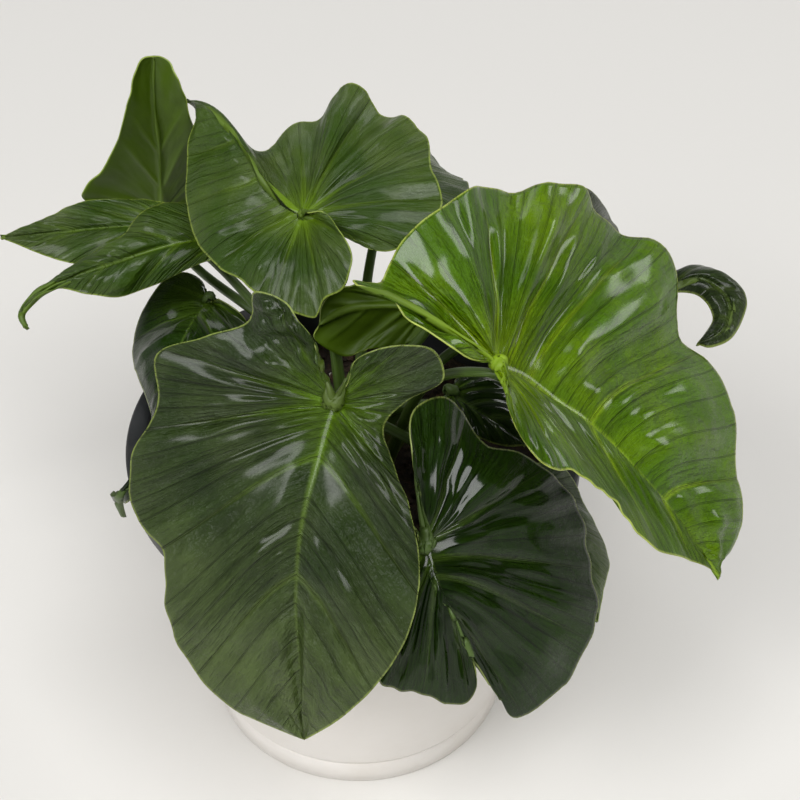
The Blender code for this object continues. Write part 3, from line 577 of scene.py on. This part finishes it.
    # wax of uneven roughness over cells of about 0.7 mm and a leathery grain of about 4 mm
    wax = addNode(tree, "TexNoise", {"Vector": place, "Scale": 180.0, "Detail": 4.0})
    wax = addNode(tree, "MapRange", {0: wax, 1: 0.3, 2: 0.7, 3: look["roughness"] - 0.07,
                                     4: look["roughness"] + 0.1})
    tree.links.new(wax.outputs[0], shader.inputs["Roughness"])
    cells = addNode(tree, "TexNoise", {"Vector": place, "Scale": 1500.0, "Detail": 2.0})
    leather = addNode(tree, "TexNoise", {"Vector": place, "Scale": 260.0, "Detail": 3.0})
    height = addNode(tree, "Math", {0: cells, 1: 0.12}, operation="MULTIPLY")
    for pattern, share in ((leather, 0.7), (streakShow, 2.0), (finer, -0.4), (mainVein, -0.25)):
        height = addNode(tree, "Math", {0: pattern, 1: share, 2: height}, operation="MULTIPLY_ADD")
    bump = addNode(tree, "Bump", {"Height": height, "Strength": 1.0, "Distance": look["bump"] * mm})
    tree.links.new(bump.outputs[0], shader.inputs["Normal"])
    shader.inputs["IOR"].default_value = look["ior"]
    shader.inputs["Coat Weight"].default_value = look["coat"]
    shader.inputs["Coat Roughness"].default_value = look["coatRoughness"]
    return material


# The underside is dull: paler olive tissue with raised veins. Its olive is brightened as a painted
# glow of light shining through the thin blade.
def underSkin(name, look):
    material, tree, shader = startMaterial(name, look["under"])
    line = addNode(tree, "SeparateXYZ", {0: addNode(tree, "UVMap", uv_map="veinLines")})
    rank, reach = line.outputs[0], line.outputs[1]
    size = addNode(tree, "Attribute", attribute_name="leafSizes").outputs["Vector"]
    size = addNode(tree, "SeparateXYZ", {0: size})
    fromRib, gap = size.outputs[0], size.outputs[2]
    place = addNode(tree, "TexCoord").outputs["Object"]
    toVein = addNode(tree, "Math", {0: rank, 1: 0.5}, operation="PINGPONG")
    toVein = addNode(tree, "Math", {0: toVein, 1: gap}, operation="MULTIPLY")
    vein = addNode(tree, "MapRange", {0: toVein, 1: 0.3, 2: 1.0, 3: 0.55, 4: 0.0},
                   interpolation_type="SMOOTHSTEP")
    vein = addNode(tree, "MapRange", {0: reach, 1: 0.4, 2: 0.95, 3: vein, 4: 0.0})
    rib = addNode(tree, "MapRange", {0: fromRib, 1: 0.5, 2: 1.4, 3: 0.8, 4: 0.0})
    blotch = addNode(tree, "TexNoise", {"Vector": place, "Scale": 60.0, "Detail": 5.0})
    blotch = addNode(tree, "MapRange", {0: blotch, 1: 0.3, 2: 0.7, 3: 0.82, 4: 1.15})
    green = addNode(tree, "VectorMath", {0: linearColour(look["under"])[:3], "Scale": blotch},
                    operation="SCALE")
    for share, over in ((vein, look["vein"]), (rib, look["rib"])):
        green = addNode(tree, "Mix", {0: share, 6: green, 7: linearColour(over)},
                        data_type="RGBA").outputs[2]
    tree.links.new(green, shader.inputs["Base Color"])
    grain = addNode(tree, "TexNoise", {"Vector": place, "Scale": 900.0, "Detail": 3.0})
    bump = addNode(tree, "Bump", {"Height": grain, "Strength": 0.25, "Distance": 0.2 * mm})
    tree.links.new(bump.outputs[0], shader.inputs["Normal"])
    shader.inputs["Roughness"].default_value = 0.5
    shader.inputs["IOR"].default_value = 1.42
    return material


# The edge of the blade is a clear, pale yellow-green rim.
def rimSkin(name, look):
    material, tree, shader = startMaterial(name, look["edge"])
    mottle(tree, shader, look["edge"], 220.0, 2.0, 0.75, 1.1)
    shader.inputs["Roughness"].default_value = 0.4
    return material


leafMaterials = {
    key: (upperSkin(key + "_leaf_upper_cuticle", look), underSkin(key + "_leaf_underside", look),
          rimSkin(key + "_leaf_margin", look))
    for key, look in leafSkins.items()
}
for number, (name, leaf) in enumerate(leaves.items()):
    makeBlade(name, leaf, number)
print("leaf blades:", len(leaves))


# Leaf stalks: fleshy and ribbed lengthways, with a shallow channel on the inner side, a swollen
# foot where each one sheathes the stem, and satin skin, paler than the blades.
# "rise" and "arrive" are the shares of its reach over which it leaves the foot and meets the leaf.
# "join" and "runOut" give places under the midrib, along the leaf and below the valley.
stalk = {"radius": 2.3, "tipScale": 0.62, "footSwell": 0.22, "channel": 0.2, "ridge": 0.02,
         "endTaper": 0.85, "rings": 60, "around": 20, "outerRing": 12.2, "innerRing": 4.6,
         "rise": 0.45, "arrive": 0.3, "join": (2.5, -3.2), "runOut": ((5.0, -1.8), (8.0, -0.9)),
         # the greens are darkened as painted shade, for the stalks stand in shade under the leaves
         "aboveSoil": 0.6, "green": "#364c14", "pale": "#50682a", "foot": "#8f8a52"}
stem = {"height": 13.0, "baseRadius": 8.5, "topRadius": 7.5, "scars": 5, "scarHeight": 0.35,
        "green": "#56602c", "cork": "#8a7748"}


def stalkSkin():
    material, tree, shader = startMaterial("fleshy_leafstalk_skin", stalk["green"])
    around = addNode(tree, "UVMap", uv_map="stalkLines")
    split = addNode(tree, "SeparateXYZ", {0: around})
    stretched = addNode(tree, "VectorMath", {0: around, 1: (26.0, 3.0, 1.0)}, operation="MULTIPLY")
    ribs = addNode(tree, "TexNoise", {"Vector": stretched, "Scale": 1.0, "Detail": 3.0})
    tone = addNode(tree, "MapRange", {0: ribs, 1: 0.3, 2: 0.7, 3: 0.0, 4: 1.0})
    green = addNode(tree, "Mix", {0: tone, 6: linearColour(stalk["green"]),
                                  7: linearColour(stalk["pale"])}, data_type="RGBA")
    # paler where it sheathes the stem
    low = addNode(tree, "MapRange", {0: split.outputs[1], 1: 0.0, 2: 0.14, 3: 0.75, 4: 0.0})
    green = addNode(tree, "Mix", {0: low, 6: green.outputs[2], 7: linearColour(stalk["foot"])},
                    data_type="RGBA")
    tree.links.new(green.outputs[2], shader.inputs["Base Color"])
    bump = addNode(tree, "Bump", {"Height": ribs, "Strength": 0.5, "Distance": 0.3 * mm})
    tree.links.new(bump.outputs[0], shader.inputs["Normal"])
    shader.inputs["Roughness"].default_value = 0.38
    shader.inputs["IOR"].default_value = 1.45
    return material


def makeStalk(name, leaf, skin, footZ):
    toPlant = leafFrame(leaf)
    ring = stalk["innerRing" if leaf["inner"] else "outerRing"] * mm
    angle = math.radians(leaf["foot"])
    outward = Vector((math.cos(angle), math.sin(angle), 0))
    foot = outward * ring + Vector((0, 0, footZ + (stem["height"] * mm if leaf["inner"] else 0)))
    radius = stalk["radius"] * mm
    depth = leaf["valley"]
    joinY, joinZ = stalk["join"]
    join = toPlant @ (Vector((0, joinY, joinZ - 0.8 * depth)) * mm)
    arrive = toPlant.to_3x3() @ Vector((0, 0.6, 0.8))
    rise = (outward * leaf["lean"] + Vector((0, 0, 1))).normalized()
    first = foot + Vector((0, 0, radius))
    reach = (join - foot).length
    second, third = first + rise * reach * stalk["rise"], join - arrive * reach * stalk["arrive"]
    line = [foot]
    for i in range(25):
        u = i / 24
        line.append(first * (1 - u) ** 3 + second * 3 * u * (1 - u) ** 2
                    + third * 3 * u**2 * (1 - u) + join * u**3)
    for y, z in stalk["runOut"]:
        line.append(toPlant @ (Vector((0, y, z - depth)) * mm))
    rings, count = stalk["rings"], stalk["around"]
    line = resample(np.array([tuple(p) for p in line]), np.linspace(0, 1, rings + 1))
    tangent = np.gradient(line, axis=0)
    tube = bmesh.new()
    tube.loops.layers.uv.new("stalkLines")
    bmesh.ops.create_grid(tube, x_segments=count, y_segments=rings, size=1.0, calc_uvs=True)
    side = outward.cross(Vector(tangent[0])).normalized()
    frames = []
    for i in range(rings + 1):
        forward = Vector(tangent[i]).normalized()
        side = (side - forward * side.dot(forward)).normalized()
        frames.append((side.copy(), side.cross(forward).normalized()))
    for vertex in tube.verts:
        i = round((vertex.co.y + 1) / 2 * rings)
        turn = math.pi * (vertex.co.x + 1)
        share = i / rings
        size = radius * (1 - (1 - stalk["tipScale"]) * share)
        size *= 1 + stalk["footSwell"] * math.exp(-((share / 0.12) ** 2))
        channel = math.exp(-(((turn - math.pi) / 0.55) ** 2)) * float(easeStep(0.05, 0.3, share))
        size *= 1 - stalk["channel"] * channel + stalk["ridge"] * math.sin(5 * turn)
        size *= 1 - stalk["endTaper"] * float(easeStep(0.9, 1.0, share))
        if i in (0, rings):
            size = 0
        across, inwards = frames[i]
        vertex.co = (Vector(line[i]) + across * math.sin(turn) * size
                     - inwards * math.cos(turn) * size)
    bmesh.ops.remove_doubles(tube, verts=tube.verts, dist=0.01 * mm)
    bmesh.ops.recalc_face_normals(tube, faces=tube.faces)
    finishPiece("leafstalk_" + name, tube, [skin], "stalk_" + name)


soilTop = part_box("potting_mix")[1].z
skin = stalkSkin()
for name, leaf in leaves.items():
    makeStalk(name, leaf, skin, soilTop + stalk["aboveSoil"] * mm)
print("leafstalks:", len(leaves))


# Turns a profile of (radius, height) in millimetres round the Z axis. "soften" is how far its sharp
# corners are rounded.
def turnedShape(profile, steps, soften=0):
    shape = bmesh.new()
    points = [shape.verts.new((radius * mm, 0, height * mm)) for radius, height in profile]
    for a, b in zip(points, points[1:]):
        shape.edges.new((a, b))
    bmesh.ops.spin(shape, geom=shape.verts[:] + shape.edges[:], cent=(0, 0, 0), axis=(0, 0, 1),
                   angle=2 * math.pi, steps=steps, use_merge=True, use_duplicate=False)
    bmesh.ops.remove_doubles(shape, verts=shape.verts, dist=0.01 * mm)
    bmesh.ops.recalc_face_normals(shape, faces=shape.faces)
    if soften:
        sharp = [edge for edge in shape.edges if edge.calc_face_angle(0) > math.radians(25)]
        bmesh.ops.bevel(shape, geom=sharp, offset=soften * mm, affect="EDGES", segments=3,
                        profile=0.5, material=-1)
    return shape


# Cover pot: white polypropylene, injection moulded, satin. The eye gets a soft broad shine, a very
# fine spark-eroded grain, faint dust low down and a few handling scuffs.
coverPot = {"baseRadius": 57.5, "footHeight": 12.0, "groove": 1.0, "grooveWidth": 1.4,
            "rimRadius": 77.5, "height": 126.0, "wall": 2.5, "floor": 4.0,
            "white": "#e9e5e0", "dust": "#cfc7ba", "roughness": 0.42, "grainSize": 0.35}


def whitePlastic():
    material, tree, shader = startMaterial("white_polypropylene_moulded", coverPot["white"])
    place = addNode(tree, "TexCoord").outputs["Object"]
    height = addNode(tree, "SeparateXYZ", {0: place}).outputs[2]
    cloud = addNode(tree, "TexNoise", {"Vector": place, "Scale": 28.0, "Detail": 6.0,
                                       "Roughness": 0.65})
    low = addNode(tree, "MapRange", {0: height, 1: 0.0, 2: 0.03, 3: 0.55, 4: 0.12})
    dust = addNode(tree, "MapRange", {0: cloud, 1: 0.45, 2: 0.75, 3: 0.0, 4: 1.0})
    dust = addNode(tree, "Math", {0: dust, 1: low}, operation="MULTIPLY")
    white = addNode(tree, "Mix", {0: dust, 6: linearColour(coverPot["white"]),
                                  7: linearColour(coverPot["dust"])}, data_type="RGBA")
    tree.links.new(white.outputs[2], shader.inputs["Base Color"])
    grain = addNode(tree, "TexNoise", {"Vector": place, "Scale": 1000.0 / coverPot["grainSize"],
                                       "Detail": 2.0})
    turned = addNode(tree, "VectorMath", {0: place, 1: (60.0, 60.0, 900.0)}, operation="MULTIPLY")
    scuff = addNode(tree, "TexNoise", {"Vector": turned, "Scale": 1.0, "Detail": 3.0})
    rough = addNode(tree, "MapRange", {0: scuff, 1: 0.55, 2: 0.75, 3: coverPot["roughness"],
                                       4: coverPot["roughness"] + 0.15})
    tree.links.new(rough.outputs[0], shader.inputs["Roughness"])
    bump = addNode(tree, "Bump", {"Height": grain, "Strength": 0.12, "Distance": 0.08 * mm})
    tree.links.new(bump.outputs[0], shader.inputs["Normal"])
    shader.inputs["IOR"].default_value = 1.49
    return material


# From the middle of the underside out, up the wall, over the rim and down inside.
def coverPotProfile(pot):
    base, rim, wall, top = pot["baseRadius"], pot["rimRadius"], pot["wall"], pot["height"]
    footTop = pot["footHeight"]
    wallFoot = footTop + pot["grooveWidth"]
    profile = [
        (0, 0.8), (base - 9, 0.8), (base - 7, 0), (base - 1, 0), (base, 1.0),
        (base, footTop - 0.4), (base - 0.3, footTop), (base - pot["groove"], footTop),
        (base - pot["groove"], wallFoot), (base + 0.3, wallFoot), (base + 0.8, wallFoot + 0.6),
    ]
    for share in (0.01, 0.03, 0.25, 0.5, 0.75, 0.98, 1.0):
        profile.append((base + 0.8 + (rim - base - 0.8) * share,
                        wallFoot + 0.6 + (top - wall - wallFoot - 0.6) * share))
    for i in range(1, 8):
        turn = math.pi * i / 8
        profile.append((rim - wall / 2 * (1 - math.cos(turn)), top - wall * (1 - math.sin(turn))))
    return profile + [
        (rim - wall, top - wall), (base - wall, pot["floor"] + 2),
        (base - wall - 2, pot["floor"]), (0, pot["floor"]),
    ]


finishPiece("white_cover_pot", turnedShape(coverPotProfile(coverPot), 160), [whitePlastic()],
            "cover_pot")
print("cover pot")


# Grow pot: black polypropylene, blow moulded with carbon black. Satin sheen with faint vertical
# flow lines and a dusting of dried compost. Its lip rests on the cover pot's rim.
growPot = {"baseRadius": 49.0, "baseZ": 9.0, "topRadius": 73.5, "wall": 1.5, "lipRadius": 79.5,
           "lipHeight": 9.0, "lipTop": 130.5, "lipWall": 1.2, "overRim": 0.3, "soften": 0.3,
           "black": "#14171a", "dust": "#4a4842", "roughness": 0.4}


def blackPlastic():
    material, tree, shader = startMaterial("black_polypropylene_blow_moulded", growPot["black"])
    place = addNode(tree, "TexCoord").outputs["Object"]
    cloud = addNode(tree, "TexNoise", {"Vector": place, "Scale": 70.0, "Detail": 7.0,
                                       "Roughness": 0.7})
    dust = addNode(tree, "MapRange", {0: cloud, 1: 0.5, 2: 0.85, 3: 0.0, 4: 0.5})
    black = addNode(tree, "Mix", {0: dust, 6: linearColour(growPot["black"]),
                                  7: linearColour(growPot["dust"])}, data_type="RGBA")
    tree.links.new(black.outputs[2], shader.inputs["Base Color"])
    rough = addNode(tree, "MapRange", {0: cloud, 1: 0.3, 2: 0.8, 3: growPot["roughness"] - 0.08,
                                       4: growPot["roughness"] + 0.25})
    tree.links.new(rough.outputs[0], shader.inputs["Roughness"])
    flow = addNode(tree, "VectorMath", {0: place, 1: (500.0, 500.0, 20.0)}, operation="MULTIPLY")
    flow = addNode(tree, "TexNoise", {"Vector": flow, "Scale": 1.0, "Detail": 2.0})
    bump = addNode(tree, "Bump", {"Height": flow, "Strength": 0.15, "Distance": 0.15 * mm})
    tree.links.new(bump.outputs[0], shader.inputs["Normal"])
    shader.inputs["IOR"].default_value = 1.49
    return material


# From the middle of the underside out, up the wall, round the turned-down lip and down inside.
def growPotProfile(pot):
    base, top, lip, wall = pot["baseRadius"], pot["topRadius"], pot["lipRadius"], pot["wall"]
    floorZ, lipTop = pot["baseZ"], pot["lipTop"]
    lipLow, insideLip = lipTop - pot["lipHeight"], lip - pot["lipWall"]
    shoulder = coverPot["height"] + pot["overRim"]
    return [
        (0, floorZ), (base - 1.5, floorZ), (base, floorZ + 1.5), (top, shoulder),
        (insideLip, shoulder), (insideLip, lipLow), (lip, lipLow), (lip, lipTop - 0.8),
        (lip - 0.8, lipTop), (top - wall + 1.0, lipTop), (top - wall, lipTop - 1.5),
        (base - wall, floorZ + wall), (0, floorZ + wall),
    ]


finishPiece("black_grow_pot", turnedShape(growPotProfile(growPot), 160, growPot["soften"]),
            [blackPlastic()], "grow_pot")
print("grow pot")


# Potting mix: damp peat and composted bark, matt, with a few perlite grains.
pottingMix = {"level": 113.0, "crown": 3.0, "edgeSink": 1.2, "edgeRadius": 69.0,
              "bottom": 10.8, "bottomRadius": 47.2, "roughHeight": 1.3, "crumbs": 420,
              "crumbSize": (0.7, 2.4), "crumbsFrom": 14, "crumbsTo": 67, "peat": "#21180f",
              "crumb": "#2b1e14", "bark": "#4a3524", "perlite": "#bdb8ac"}


def peatSurface():
    material, tree, shader = startMaterial("damp_peat_compost", pottingMix["peat"])
    place = addNode(tree, "TexCoord").outputs["Object"]
    fibre = addNode(tree, "TexNoise", {"Vector": place, "Scale": 420.0, "Detail": 8.0,
                                       "Roughness": 0.7})
    tone = addNode(tree, "MapRange", {0: fibre, 1: 0.42, 2: 0.72, 3: 0.0, 4: 1.0})
    brown = addNode(tree, "Mix", {0: tone, 6: linearColour(pottingMix["peat"]),
                                  7: linearColour(pottingMix["bark"])}, data_type="RGBA")
    tree.links.new(brown.outputs[2], shader.inputs["Base Color"])
    bump = addNode(tree, "Bump", {"Height": fibre, "Strength": 1.0, "Distance": 1.2 * mm})
    tree.links.new(bump.outputs[0], shader.inputs["Normal"])
    shader.inputs["Roughness"].default_value = 0.92
    return material


def crumbSurface(name, hexValue, roughness):
    material, tree, shader = startMaterial(name, hexValue)
    pores = mottle(tree, shader, hexValue, 1600.0, 4.0, 0.65, 1.15)
    bump = addNode(tree, "Bump", {"Height": pores, "Strength": 0.8, "Distance": 0.4 * mm})
    tree.links.new(bump.outputs[0], shader.inputs["Normal"])
    shader.inputs["Roughness"].default_value = roughness
    return material


# Height of the surface in millimetres: mounded to the middle, sunk at the edge, smooth at the stem.
def soilHeight(x, y):
    radius = math.hypot(x, y) / mm
    edge = pottingMix["edgeRadius"]
    mound = pottingMix["crown"] * (1 - float(easeStep(12, edge - 5, radius)))
    mound -= pottingMix["edgeSink"] * float(easeStep(edge - 3, edge, radius))
    rough = noise.fractal(Vector((x, y, 0)) * 260, 0.8, 2.1, 4) * pottingMix["roughHeight"]
    return pottingMix["level"] + mound + rough * float(easeStep(9, 20, radius))


soilEdge, soilLevel = pottingMix["edgeRadius"], pottingMix["level"]
soilProfile = [(0, soilLevel + pottingMix["crown"])]
soilProfile += [(radius, soilLevel) for radius in np.linspace(1.5, soilEdge - 0.5, 46)]
soilProfile += [(soilEdge, soilLevel - 1.5), (60.0, 60.0),
                (pottingMix["bottomRadius"], pottingMix["bottom"]), (0, pottingMix["bottom"])]
soil = turnedShape(soilProfile, 144)
for vertex in soil.verts:
    if vertex.co.z > (soilLevel - 1) * mm:
        vertex.co.z = soilHeight(vertex.co.x, vertex.co.y) * mm
finishPiece("potting_compost", soil, [peatSurface()], "potting_mix")

# name, colour, roughness, how many in ten, and how long the longest are
crumbKinds = (
    ("peat_crumb", pottingMix["crumb"], 0.95, 5, 1.1),
    ("composted_bark_chip", pottingMix["bark"], 0.85, 4, 1.9),
    ("expanded_perlite", pottingMix["perlite"], 0.9, 1, 1.1),
)
crumbs = bmesh.new()
for i in range(pottingMix["crumbs"]):
    spread = (pottingMix["crumbsTo"] - pottingMix["crumbsFrom"]) * math.sqrt(plantRandom.random())
    radius = (pottingMix["crumbsFrom"] + spread) * mm
    angle = plantRandom.uniform(0, 2 * math.pi)
    size = plantRandom.uniform(*pottingMix["crumbSize"]) * mm
    kind = plantRandom.choices((0, 1, 2), [crumbKind[3] for crumbKind in crumbKinds])[0]
    x, y = radius * math.cos(angle), radius * math.sin(angle)
    spot = Matrix.Translation((x, y, soilHeight(x, y) * mm + size * 0.2))
    heading = Matrix.Rotation(plantRandom.uniform(0, 6), 4, "Z")
    tilt = Matrix.Rotation(plantRandom.uniform(-0.6, 0.6), 4, "X")
    stretch = Matrix.Diagonal((plantRandom.uniform(0.8, crumbKinds[kind][4]), 0.8,
                               plantRandom.uniform(0.4, 0.8), 1))
    grain = bmesh.ops.create_icosphere(crumbs, subdivisions=1, radius=size,
                                       matrix=spot @ (heading @ tilt) @ stretch)
    for vertex in grain["verts"]:
        vertex.co += noise.noise_vector(vertex.co * 900) * size * 0.25
        for face in vertex.link_faces:
            face.material_index = kind
finishPiece("compost_crumbs", crumbs,
            [crumbSurface(name, colour, rough) for name, colour, rough, *_ in crumbKinds],
            None, smooth=False)
print("potting mix")


# Stem: short, fleshy, ringed with the scars of old leaves.
def stemSkin():
    material, tree, shader = startMaterial("stem_corky_green_skin", stem["green"])
    place = addNode(tree, "TexCoord").outputs["Object"]
    squashed = addNode(tree, "VectorMath", {0: place, 1: (120.0, 120.0, 700.0)},
                       operation="MULTIPLY")
    bands = addNode(tree, "TexNoise", {"Vector": squashed, "Scale": 1.0, "Detail": 4.0})
    tone = addNode(tree, "MapRange", {0: bands, 1: 0.4, 2: 0.65, 3: 0.0, 4: 1.0})
    shade = addNode(tree, "Mix", {0: tone, 6: linearColour(stem["green"]),
                                  7: linearColour(stem["cork"])}, data_type="RGBA")
    tree.links.new(shade.outputs[2], shader.inputs["Base Color"])
    bump = addNode(tree, "Bump", {"Height": bands, "Strength": 0.7, "Distance": 0.6 * mm})
    tree.links.new(bump.outputs[0], shader.inputs["Normal"])
    shader.inputs["Roughness"].default_value = 0.6
    return material


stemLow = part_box("stem")[0].z / mm
stemFoot, stemTop = stem["baseRadius"], stemLow + stem["height"]
stemProfile = [(0, stemLow - 1.5), (stemFoot + 0.4, stemLow - 1.5)]
for i in range(1, 25):
    share = i / 24
    scar = stem["scarHeight"] * math.sin(share * stem["scars"] * 2 * math.pi) ** 3
    stemProfile.append((stemFoot - share * (stemFoot - stem["topRadius"]) + scar,
                        stemLow + share * (stem["height"] - 1)))
stemProfile += [(6.0, stemTop - 0.1), (0, stemTop)]
finishPiece("plant_stem", turnedShape(stemProfile, 48), [stemSkin()], "stem")
print("stem")


# Studio, in metres: a plain pale floor, two large soft lights high in front, at the right and the
# left, and two weak ones behind, one of them a long strip. All of them aim at the plant.
studio = {"floor": "#e0deda", "floorRadius": 3.0, "horizon": "#f0eeeb", "ceiling": "#d4d4d4",
          "horizonStrength": 0.6, "ceilingStrength": 0.12, "lampAim": (0, 0, 0.15)}
softLights = {
    "top": {"at": (0.7, -1.4, 2.8), "size": (1.5, 1.5), "watts": 62.0},
    "back": {"at": (-0.7, 2.0, 2.2), "size": (2.0, 0.6), "watts": 10.0},
    "right": {"at": (1.9, 1.2, 1.7), "size": (1.0, 0.6), "watts": 12.0},
    "left": {"at": (-1.7, -1.4, 2.5), "size": (1.3, 1.3), "watts": 56.0},
}


def floorPaint():
    material, tree, shader = startMaterial("matt_painted_floor", studio["floor"])
    mottle(tree, shader, studio["floor"], 1.2, 2.0, 0.985, 1.01)
    shader.inputs["Roughness"].default_value = 0.6
    return material


floorShape = bmesh.new()
bmesh.ops.create_circle(floorShape, cap_ends=True, segments=96, radius=studio["floorRadius"])
floor = bpy.data.objects.new("studio_floor", meshFrom(floorShape, "studio_floor", False))
bpy.context.scene.collection.objects.link(floor)
floor.data.materials.append(floorPaint())

for name, light in softLights.items():
    lamp = bpy.data.lights.new(name + "_softbox", "AREA")
    lamp.shape = "RECTANGLE"
    lamp.size, lamp.size_y = light["size"]
    lamp.energy = light["watts"]
    lampObject = bpy.data.objects.new(lamp.name, lamp)
    lampObject.location = light["at"]
    aim = Vector(studio["lampAim"]) - Vector(light["at"])
    lampObject.rotation_euler = aim.to_track_quat("-Z", "Y").to_euler()
    bpy.context.scene.collection.objects.link(lampObject)

# the room is bright low down, like pale walls, and dim above
room = bpy.data.worlds.new("studio_room")
room.use_nodes = True
roomTree = room.node_tree
background = roomTree.nodes["Background"]
direction = addNode(roomTree, "TexCoord").outputs["Generated"]
upward = addNode(roomTree, "SeparateXYZ", {0: direction}).outputs[2]
dim = addNode(roomTree, "MapRange", {0: upward, 1: 0.2, 2: 0.55, 3: 0.0, 4: 1.0},
              interpolation_type="SMOOTHSTEP")
roomColour = addNode(roomTree, "Mix", {0: dim, 6: linearColour(studio["horizon"]),
                                       7: linearColour(studio["ceiling"])}, data_type="RGBA")
roomStrength = addNode(roomTree, "MapRange", {0: dim, 3: studio["horizonStrength"],
                                              4: studio["ceilingStrength"]})
roomTree.links.new(roomColour.outputs[2], background.inputs[0])
roomTree.links.new(roomStrength.outputs[0], background.inputs[1])
bpy.context.scene.world = room
bpy.context.scene.view_settings.view_transform = "Standard"

# Camera, in metres and degrees, looking along +Y and down.
view = {"at": (0.016, -0.396, 0.526), "down": 43.8, "lens": 72, "sensor": 36, "nearest": 0.01}
camera = bpy.data.objects.new("camera", bpy.data.cameras.new("camera"))
camera.location = view["at"]
camera.rotation_euler = (math.radians(90 - view["down"]), 0, 0)
camera.data.lens = view["lens"]
camera.data.sensor_width = view["sensor"]
camera.data.clip_start = view["nearest"]
bpy.context.scene.collection.objects.link(camera)
bpy.context.scene.camera = camera
print("studio")
